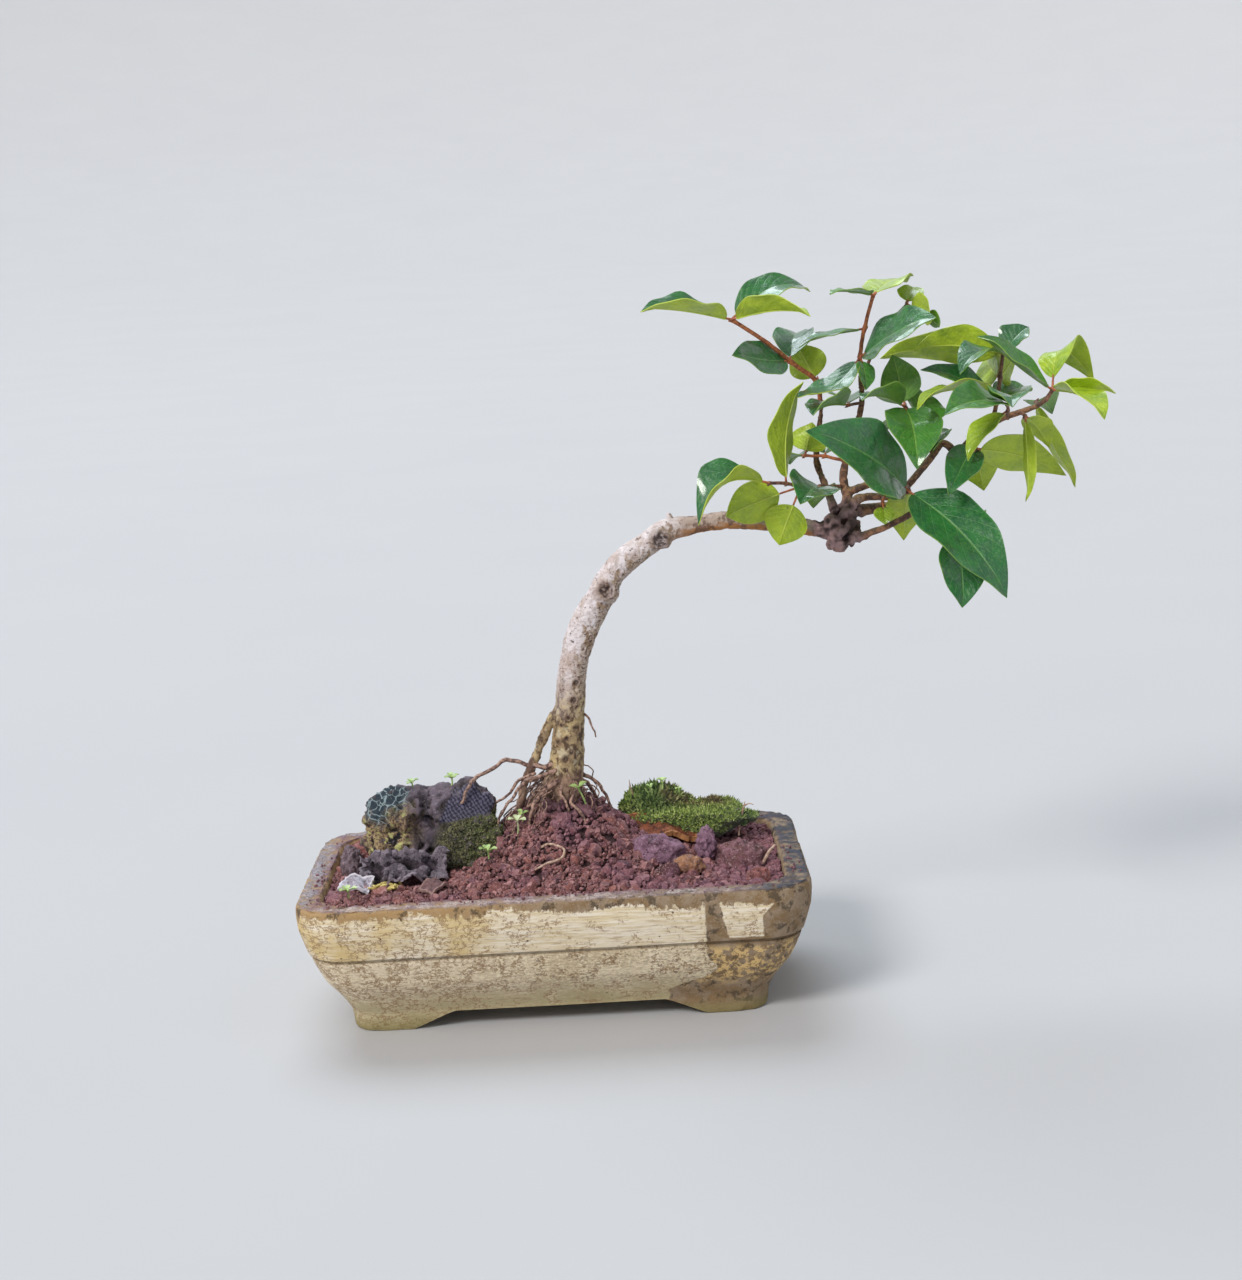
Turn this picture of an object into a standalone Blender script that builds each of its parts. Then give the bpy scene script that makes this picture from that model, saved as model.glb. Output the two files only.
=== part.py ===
"""Surinam cherry bonsai in a weathered cement pot.

The pot's long side runs along X and the viewer's side faces -Y. Lists of places are in
millimetres from the middle of the pot's underside, and the last step moves everything so
that the origin lies under the middle of the whole object, at the height of the pot's feet.
"""

import math
import random
from collections import namedtuple

import bmesh
import bpy
from mathutils import Matrix, Vector, noise

MM = 0.001

POT_HALF_LENGTH = 100 * MM
POT_HALF_WIDTH = 60 * MM
POT_CORNER = 18 * MM
FOOT_HEIGHT = 7 * MM
FLOOR_TOP = 14 * MM
ARCH_FOOT = 58 * MM
ARCH_CROWN = 41 * MM
SIDE_ARCH_FOOT = 26 * MM
SIDE_ARCH_CROWN = 16 * MM
ARCH_CHAMFER_RUN = 3 * MM
ARCH_CHAMFER_RISE = 1 * MM
DRAIN_RADIUS = 6 * MM
DRAIN_OFFSET = 36 * MM
DRAIN_SIDES = 20
SCREEN_SPAN = 20 * MM
SCREEN_WIRE = 1.4 * MM
SCREEN_CELLS = 3
CUT_PAST = 20 * MM

SEAT_GAP = 0.3 * MM
POCKET_GAP = 0.45 * MM
ROOT_HOLE_GAP = 0.9 * MM

SOIL_EDGE = 52 * MM
SOIL_RISE = 27 * MM
SOIL_SPREAD_X = 22 * MM
SOIL_SPREAD_Y = 26 * MM
GRAIN_PITCH = 7.0 * MM
GRAIN_RELIEF = 1.2 * MM
GRAIN_SCATTER = 0.3
SOIL_BOTTOM = 5 * MM
SOIL_ABOVE_SCREEN = 0.2

TRUNK_FOOT = Vector((4, 10, 44)) * MM

LEAF_THICKNESS = 0.7 * MM
STALK_HALF_WIDTH = 0.6 * MM
WIDEST_SHARE = 0.451
LEAF_STATIONS = (0.0, 0.16, 0.48, 0.8, 1.0)
SEEDLING_STATIONS = (0.4, 1.0)
LEAF_WAVE = 0.04
BROAD_BUMPS = 1.7
FINE_BUMPS = 4.1

Leaf = namedtuple("Leaf", "node tip width face bow fold stalk", defaults=(2.5,))
Leaf.__doc__ = """One leaf of a spray.

node: index of the twig point it grows from; tip: its point, mm; width: mm;
face: the way its upper side looks; bow: rise of its back as a share of its length;
fold: degrees that each half is raised from flat; stalk: length before the blade, mm.
"""
Spray = namedtuple("Spray", "twig radius leaves")
Sheet = namedtuple("Sheet", "centre length width turn tilt arch wave thickness")
Sheet.__doc__ = """A thin piece of bark that lies on the soil.

centre, length, width, arch, wave and thickness in mm; turn about the upright and tilt
about its long side in degrees; arch: rise of its middle; wave: height of its ripples.
"""


# Collections, materials and mesh helpers


def clear_scene():
    """Remove every object that the file starts with."""
    for item in list(bpy.data.objects):
        bpy.data.objects.remove(item, do_unlink=True)


def make_collection(name):
    """A new collection linked to the scene."""
    collection = bpy.data.collections.new(name)
    bpy.context.scene.collection.children.link(collection)
    return collection


def make_material(name, colour, roughness, metallic=0.0):
    """A Principled material of one colour."""
    material = bpy.data.materials.new(name)
    material.use_nodes = True
    shader = material.node_tree.nodes["Principled BSDF"]
    shader.inputs["Base Color"].default_value = (*colour, 1.0)
    shader.inputs["Roughness"].default_value = roughness
    shader.inputs["Metallic"].default_value = metallic
    return material


def place(name, mesh, collection, material=None):
    """An object that shows a mesh, in a collection."""
    item = bpy.data.objects.new(name, mesh)
    collection.objects.link(item)
    if material is not None:
        mesh.materials.clear()
        mesh.materials.append(material)
    return item


def to_mesh(bm, name):
    """The mesh of a bmesh, its faces turned outwards."""
    bmesh.ops.recalc_face_normals(bm, faces=bm.faces)
    mesh = bpy.data.meshes.new(name)
    bm.to_mesh(mesh)
    bm.free()
    return mesh


def evaluated_mesh(item):
    """The mesh that an object shows with its modifiers applied."""
    depsgraph = bpy.context.evaluated_depsgraph_get()
    depsgraph.update()
    return bpy.data.meshes.new_from_object(item.evaluated_get(depsgraph))


def bake(item):
    """Apply an object's modifiers to its mesh."""
    mesh = evaluated_mesh(item)
    item.modifiers.clear()
    item.data = mesh


def drop_scraps(mesh):
    """Keep only the largest connected body of a mesh."""
    bm = bmesh.new()
    bm.from_mesh(mesh)
    waiting = set(bm.verts)
    bodies = []
    while waiting:
        start = waiting.pop()
        body = {start}
        edge = [start]
        while edge:
            vertex = edge.pop()
            for link in vertex.link_edges:
                other = link.other_vert(vertex)
                if other in waiting:
                    waiting.remove(other)
                    body.add(other)
                    edge.append(other)
        bodies.append(body)
    bodies.sort(key=len, reverse=True)
    loose = [vertex for body in bodies[1:] for vertex in body]
    bmesh.ops.delete(bm, geom=loose, context="VERTS")
    bmesh.ops.dissolve_degenerate(bm, dist=0.002 * MM, edges=bm.edges)
    bm.to_mesh(mesh)
    bm.free()


def combine(item, operation, others):
    """Join others to an object, or cut them from it, and remove them."""
    group = bpy.data.collections.new("combine")
    for other in others:
        group.objects.link(other)
    modifier = item.modifiers.new("combine", "BOOLEAN")
    modifier.operation = operation
    modifier.solver = "EXACT"
    modifier.operand_type = "COLLECTION"
    modifier.collection = group
    bake(item)
    for other in others:
        bpy.data.objects.remove(other, do_unlink=True)
    bpy.data.collections.remove(group)
    drop_scraps(item.data)


def adopt(item, name, parts, cutters, material):
    """Keep a shaped object as a part of the model."""
    item.name = name
    item.data.name = name
    cutters.objects.unlink(item)
    parts.objects.link(item)
    item.data.materials.clear()
    item.data.materials.append(material)


def smooth_path(points, steps):
    """Points on a smooth curve through the given ones."""
    ends = [points[0] * 2 - points[1], *points, points[-1] * 2 - points[-2]]
    path = []
    for index in range(len(points) - 1):
        before, start, stop, after = ends[index:index + 4]
        for step in range(steps):
            t = step / steps
            path.append(0.5 * (2 * start + (stop - before) * t
                               + (2 * before - 5 * start + 4 * stop - after) * t ** 2
                               + (3 * start - before - 3 * stop + after) * t ** 3))
    path.append(points[-1].copy())
    return path


def tube(points, radii, resolution, collection, grow=0.0):
    """A closed round tube along points, with a radius at each."""
    curve = bpy.data.curves.new("tube", "CURVE")
    curve.dimensions = "3D"
    curve.bevel_depth = 1.0
    curve.bevel_resolution = resolution
    curve.use_fill_caps = True
    spline = curve.splines.new("POLY")
    spline.points.add(len(points) - 1)
    for target, point, radius in zip(spline.points, points, radii):
        target.co = (*point, 1.0)
        target.radius = radius + grow
    guide = bpy.data.objects.new("tube", curve)
    collection.objects.link(guide)
    mesh = evaluated_mesh(guide)
    bm = bmesh.new()
    bm.from_mesh(mesh)
    bmesh.ops.remove_doubles(bm, verts=bm.verts, dist=0.01 * MM)
    bmesh.ops.recalc_face_normals(bm, faces=bm.faces)
    bm.to_mesh(mesh)
    bm.free()
    item = bpy.data.objects.new("tube", mesh)
    item.matrix_world = guide.matrix_world.copy()
    collection.objects.link(item)
    bpy.data.objects.remove(guide, do_unlink=True)
    return item


def limb(points, radii, resolution, collection, steps=3, grow=0.0):
    """A smooth tapering tube through places in millimetres, with radii in millimetres."""
    places = [Vector(point) * MM for point in points]
    path = smooth_path(places, steps)
    widths = []
    for index in range(len(path)):
        position = index / steps
        low = min(int(position), len(radii) - 2)
        share = position - low
        widths.append((radii[low] * (1 - share) + radii[low + 1] * share) * MM)
    path[0] += (path[0] - path[1]).normalized() * grow
    path[-1] += (path[-1] - path[-2]).normalized() * grow
    return tube(path, widths, resolution, collection, grow)


def lump(centre, half_size, seed, roughness, subdivisions, collection, turn=0.0, grow=0.0):
    """A closed weathered lump: a ball scaled to a size, with its surface pushed in and out.

    centre and half_size in mm; roughness: greatest push as a share of the size;
    turn: degrees about the upright; grow: added all round, m.
    """
    rng = random.Random(seed)
    offset = Vector((rng.uniform(0, 50), rng.uniform(0, 50), rng.uniform(0, 50)))
    bm = bmesh.new()
    bmesh.ops.create_icosphere(bm, subdivisions=subdivisions, radius=1.0)
    for vertex in bm.verts:
        broad = noise.noise(vertex.co * BROAD_BUMPS + offset)
        fine = noise.noise(vertex.co * FINE_BUMPS + offset)
        push = broad + 0.5 * fine
        vertex.co *= 1 + roughness * push
        for axis in range(3):
            vertex.co[axis] *= half_size[axis] * MM + grow
    bmesh.ops.rotate(bm, verts=bm.verts, matrix=Matrix.Rotation(math.radians(turn), 3, "Z"))
    bmesh.ops.translate(bm, verts=bm.verts, vec=Vector(centre) * MM)
    return place("lump", to_mesh(bm, "lump"), collection)


def shade(item, angle=40):
    """Smooth shading that keeps edges sharper than an angle."""
    item.data.shade_smooth()
    item.data.set_sharp_from_angle(angle=math.radians(angle))


# Pot


def ring(half_x, half_y, corner, height, steps=4):
    """Points of a rounded rectangle at one height."""
    points = []
    for quarter, (side_x, side_y) in enumerate(((1, 1), (-1, 1), (-1, -1), (1, -1))):
        for step in range(steps + 1):
            angle = math.radians(90 * (quarter + step / steps))
            x = side_x * (half_x - corner) + corner * math.cos(angle)
            y = side_y * (half_y - corner) + corner * math.sin(angle)
            points.append(Vector((x, y, height)))
    return points


def loft(rings):
    """A bmesh skin through rings, closed at both ends."""
    bm = bmesh.new()
    rows = [[bm.verts.new(point) for point in row] for row in rings]
    count = len(rows[0])
    for lower, upper in zip(rows, rows[1:]):
        for index in range(count):
            following = (index + 1) % count
            bm.faces.new((lower[index], lower[following], upper[following], upper[index]))
    bm.faces.new(list(reversed(rows[0])))
    bm.faces.new(rows[-1])
    return bm


def pot_section(inset, height):
    """A ring of the pot, drawn in from its widest outline."""
    corner = POT_CORNER - 0.35 * inset * MM
    return ring(POT_HALF_LENGTH - inset * MM, POT_HALF_WIDTH - inset * MM, corner, height * MM)


POT_OUTSIDE = (
    (18.6, 0), (18.1, 1), (17.9, 4), (17.3, 8), (14, 14), (9, 21), (6.2, 27), (4.8, 31.6),
    (5.7, 32.6), (5.6, 33.6), (4.2, 34.6), (2.1, 38), (0.5, 44), (0, 50), (0.2, 53.6), (1.2, 55),
)
POT_INSIDE = ((9, 55), (10, 54), (10.6, 50), (12.5, 38), (17, 24), (22, 16), (25, 14))
TOP_OF_CUTS = 100


def trapezoid_prism(foot, crown, height, reach, along_x):
    """A bar with a flat-topped arch section, to cut a passage under the pot."""
    below = -ARCH_CHAMFER_RISE
    shoulder = crown + ARCH_CHAMFER_RUN
    shoulder_height = height - ARCH_CHAMFER_RISE
    outline = ((-foot, below), (-foot, 0), (-shoulder, shoulder_height), (-crown, height),
               (crown, height), (shoulder, shoulder_height), (foot, 0), (foot, below))
    rows = []
    for end in (-reach, reach):
        if along_x:
            rows.append([Vector((end, across, up)) for across, up in outline])
        else:
            rows.append([Vector((across, end, up)) for across, up in outline])
    return loft(rows)


def drain_cutter(x):
    """A drill for one drain hole."""
    bm = bmesh.new()
    bmesh.ops.create_cone(bm, cap_ends=True, segments=DRAIN_SIDES, radius1=DRAIN_RADIUS,
                          radius2=DRAIN_RADIUS, depth=FLOOR_TOP + CUT_PAST)
    bmesh.ops.translate(bm, verts=bm.verts, vec=(x, 0, FOOT_HEIGHT))
    return bm


def add_pot(parts, cutters, material):
    """The round-cornered pot with its four feet, belt groove and drain holes."""
    sections = [pot_section(inset, height) for inset, height in POT_OUTSIDE + POT_INSIDE]
    pot = place("pot", to_mesh(loft(sections), "pot"), parts, material)
    passages = (
        trapezoid_prism(ARCH_FOOT, ARCH_CROWN, FOOT_HEIGHT, POT_HALF_WIDTH + CUT_PAST, along_x=False),
        trapezoid_prism(SIDE_ARCH_FOOT, SIDE_ARCH_CROWN, FOOT_HEIGHT, POT_HALF_LENGTH + CUT_PAST,
                        along_x=True),
        drain_cutter(-DRAIN_OFFSET),
        drain_cutter(DRAIN_OFFSET),
    )
    for bm in passages:
        combine(pot, "DIFFERENCE", [place("passage", to_mesh(bm, "passage"), cutters)])
    shade(pot, 35)


def add_drain_screen(parts, material, name, x):
    """A square of coarse plastic screen lying over a drain hole."""
    bm = bmesh.new()
    bmesh.ops.create_grid(bm, x_segments=SCREEN_CELLS, y_segments=SCREEN_CELLS, size=SCREEN_SPAN / 2)
    screen = place(name, to_mesh(bm, name), parts, material)
    wires = screen.modifiers.new("wires", "WIREFRAME")
    wires.thickness = SCREEN_WIRE
    wires.use_replace = True
    wires.use_boundary = True
    screen.location = (x, 0, FLOOR_TOP + SEAT_GAP + SCREEN_WIRE / 2)


# Soil


def mound(x, y):
    """Height of the soil surface at a place."""
    fall_x = ((x - TRUNK_FOOT.x) / SOIL_SPREAD_X) ** 2
    fall_y = ((y - TRUNK_FOOT.y) / SOIL_SPREAD_Y) ** 2
    return SOIL_EDGE + SOIL_RISE * math.exp(-0.5 * (fall_x + fall_y))


def soil_block():
    """A block whose top is the mound, with lumps of grain standing on it."""
    rng = random.Random(11)
    reach_x = POT_HALF_LENGTH
    reach_y = POT_HALF_WIDTH
    columns = round(2 * reach_x / GRAIN_PITCH)
    rows = round(2 * reach_y / GRAIN_PITCH)
    bm = bmesh.new()
    top = []
    for row in range(rows + 1):
        line = []
        for column in range(columns + 1):
            x = -reach_x + 2 * reach_x * column / columns
            y = -reach_y + 2 * reach_y * row / rows
            x += rng.uniform(-GRAIN_SCATTER, GRAIN_SCATTER) * GRAIN_PITCH
            y += rng.uniform(-GRAIN_SCATTER, GRAIN_SCATTER) * GRAIN_PITCH
            height = mound(x, y) + rng.uniform(-GRAIN_RELIEF, GRAIN_RELIEF)
            line.append(bm.verts.new((x, y, height)))
        top.append(line)
    for lower, upper in zip(top, top[1:]):
        for index in range(columns):
            bm.faces.new((lower[index], lower[index + 1], upper[index + 1], upper[index]))
    bmesh.ops.triangulate(bm, faces=bm.faces)
    border = [edge for edge in bm.edges if edge.is_boundary]
    skirt = bmesh.ops.extrude_edge_only(bm, edges=border)["geom"]
    for vertex in (item for item in skirt if isinstance(item, bmesh.types.BMVert)):
        vertex.co.z = SOIL_BOTTOM
    bmesh.ops.edgeloop_fill(bm, edges=[edge for edge in bm.edges if edge.is_boundary])
    return bm


def soil_space():
    """The room inside the pot above its screens, a little smaller than its walls."""
    gap = 2 * SEAT_GAP / MM
    floor = (FLOOR_TOP + SCREEN_WIRE) / MM + gap + SOIL_ABOVE_SCREEN
    sections = [pot_section(POT_INSIDE[-1][0] + gap, floor)]
    for inset, height in reversed(POT_INSIDE[2:-1]):
        sections.append(pot_section(inset + gap, max(height, floor + 0.5)))
    sections.append(pot_section(POT_INSIDE[2][0] + gap, TOP_OF_CUTS))
    return loft(sections)


def add_soil(parts, cutters, material, pockets):
    """The soil, held in the pot, with a pocket for each thing that stands in it."""
    soil = place("soil", to_mesh(soil_block(), "soil"), parts, material)
    combine(soil, "INTERSECT", [place("space", to_mesh(soil_space(), "space"), cutters)])
    for pocket in pockets:
        combine(soil, "DIFFERENCE", [pocket])
    soil.data.shade_flat()


# Trunk, limbs and roots


TRUNK_PATH = (
    (4, 10, 44), (4, 10, 62), (4, 10, 80), (6, 10, 88), (8, 10, 102), (10, 10, 120), (12, 10, 133),
    (17, 10, 147), (23, 10, 157), (29, 9, 167), (36, 8, 174), (44, 8, 179), (52, 8, 184), (64, 8, 186),
    (76, 8, 187), (89, 7, 186), (101, 6, 184), (111, 5, 182), (122, 4, 181),
)
TRUNK_RADII = (
    5, 7.4, 8.2, 7.2, 6.1, 5.8, 5.7, 6.2, 5.7, 5.2, 5.2, 4.8, 4.6, 3.4, 3.7, 3.6, 3.2, 3.0, 4.4,
)
LIMBS = {
    "arch": (
        ((122, 4, 184), (124, 2, 190), (128, 3, 193), (133, 5, 193.5), (142, 7, 193), (148, 6, 197),
         (153, 7, 202), (159, 10, 208), (163, 14, 212), (166, 14, 211), (169, 12, 208), (174, 10, 213),
         (181, 6, 219), (187, 4, 222), (193, 2, 224), (199, 1, 226), (203, 0, 229)),
        (2.6, 2.1, 1.8, 1.6, 1.6, 1.5, 1.5, 1.5, 1.5, 1.6, 1.7, 1.5, 1.4, 1.3, 1.25, 1.15, 1.1),
    ),
    "stem": (
        ((123, 4, 188), (124, 6, 194), (123, 8, 200), (125, 10, 211), (129, 12, 220), (132, 14, 230),
         (132, 14, 241)),
        (2.3, 2.0, 1.7, 1.5, 1.3, 1.2, 1.1),
    ),
    "left_stem": (
        ((120, 6, 186), (117, 16, 196), (114, 22, 207), (115, 22, 217), (117, 20, 231)),
        (1.9, 1.4, 1.2, 1.1, 1.0),
    ),
    "stub": (((124, 5, 188), (134, 10, 188), (143, 16, 188), (149, 20, 188)), (2.8, 2.3, 2.1, 2.0)),
    "short_stub": (((124, 7, 195), (129, 7, 197), (133, 8, 198)), (1.9, 1.6, 1.5)),
    "lower": (
        ((120, 3, 178), (127, 0, 178), (132, -1, 180), (138, -2, 182), (144, -4, 185), (148, -5, 187),
         (151, -6, 186)),
        (2.6, 1.7, 1.4, 1.3, 1.3, 1.4, 1.2),
    ),
}
BURL_LUMPS = (
    ((121, 4, 181.5), (5, 5.2, 6.8), 5),
    ((117, 2, 183.5), (3.4, 4.2, 4.2), 6),
    ((120, 1, 176), (3.6, 3.6, 3.6), 7),
    ((26, 9, 161), (5.8, 6.2, 6), 8),
    ((49, 7, 182), (5.4, 5.4, 4.8), 9),
)
ROOTS = {
    "buttress": (((5, 10, 115), (1, 10, 109), (-3, 9, 101), (-7, 8, 92), (-11, 7, 84), (-14, 6, 70)),
                 (1.6, 1.8, 1.8, 1.7, 1.6, 1.2)),
    "long": (((4, 8, 92), (-2, 6, 91), (-9, 7, 92), (-14, 7, 94), (-19, 8, 94), (-24, 7, 91),
              (-29, 6, 89), (-33, 2, 86), (-36, -2, 80)), (1.6, 1.4, 1.2, 1.1, 1.1, 1, 1, 0.9, 0.7)),
    "middle": (((3, 5, 90), (-5, 2, 88), (-11, 1, 86), (-16, 0, 80), (-21, 0, 72), (-24, 0, 58)),
               (1.8, 1.4, 1.2, 1.0, 0.9, 0.8)),
    "fork": (((-6, 4, 89), (-13, 5, 86), (-18, 5, 80), (-24, 6, 76), (-28, 6, 62)), (1.2, 1, 0.9, 0.8, 0.7)),
    "near": (((4, 4, 86), (-3, 0, 82), (-8, -4, 76), (-10, -6, 66)), (2.0, 1.4, 1.2, 0.9)),
    "front": (((5, 5, 86), (4, 1, 81), (6, -2, 77), (7, -4, 66)), (1.8, 1.1, 1.0, 0.8)),
    "front_right": (((8, 6, 87), (10, 1, 82), (8, -3, 78), (12, -7, 74), (15, -9, 63)),
                    (1.8, 1.1, 1.0, 1.0, 0.8)),
    "right": (((8, 10, 88), (14, 12, 85), (19, 13, 81), (23, 14, 72), (25, 14, 62)), (2.2, 1.4, 1.1, 1, 0.8)),
    "back": (((4, 14, 88), (1, 20, 83), (-3, 26, 76), (-5, 30, 62)), (2.4, 1.6, 1.3, 1.0)),
    "back_right": (((6, 14, 87), (12, 20, 82), (17, 25, 74), (20, 28, 60)), (2.2, 1.5, 1.2, 0.9)),
    "tendril": (((12, 10, 113), (16, 9, 110), (18, 9, 106), (19, 10, 101)), (0.8, 0.6, 0.5, 0.4)),
}


def trunk_tubes(collection, grow=0.0):
    """The trunk and its limbs as separate closed tubes."""
    pieces = [limb(TRUNK_PATH, TRUNK_RADII, 3, collection, steps=1, grow=grow)]
    for points, radii in LIMBS.values():
        pieces.append(limb(points, radii, 1, collection, steps=1, grow=grow))
    return pieces


def burl_lumps(collection, grow=0.0):
    """The swollen knots of the trunk."""
    return [lump(centre, size, seed, 0.16, 2, collection, grow=grow) for centre, size, seed in BURL_LUMPS]


def root_tubes(collection, resolution=1, grow=0.0):
    """The roots that show round the trunk's foot."""
    return [limb(points, radii, resolution, collection, steps=1, grow=grow)
            for points, radii in ROOTS.values()]


def add_trunk(parts, cutters, material):
    """The trunk with its burl, limbs and bare roots, grown as one piece."""
    pieces = trunk_tubes(cutters) + burl_lumps(cutters) + root_tubes(cutters)
    trunk = pieces.pop(0)
    combine(trunk, "UNION", pieces)
    adopt(trunk, "trunk", parts, cutters, material)
    shade(trunk, 50)


# Leafy sprays


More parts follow.
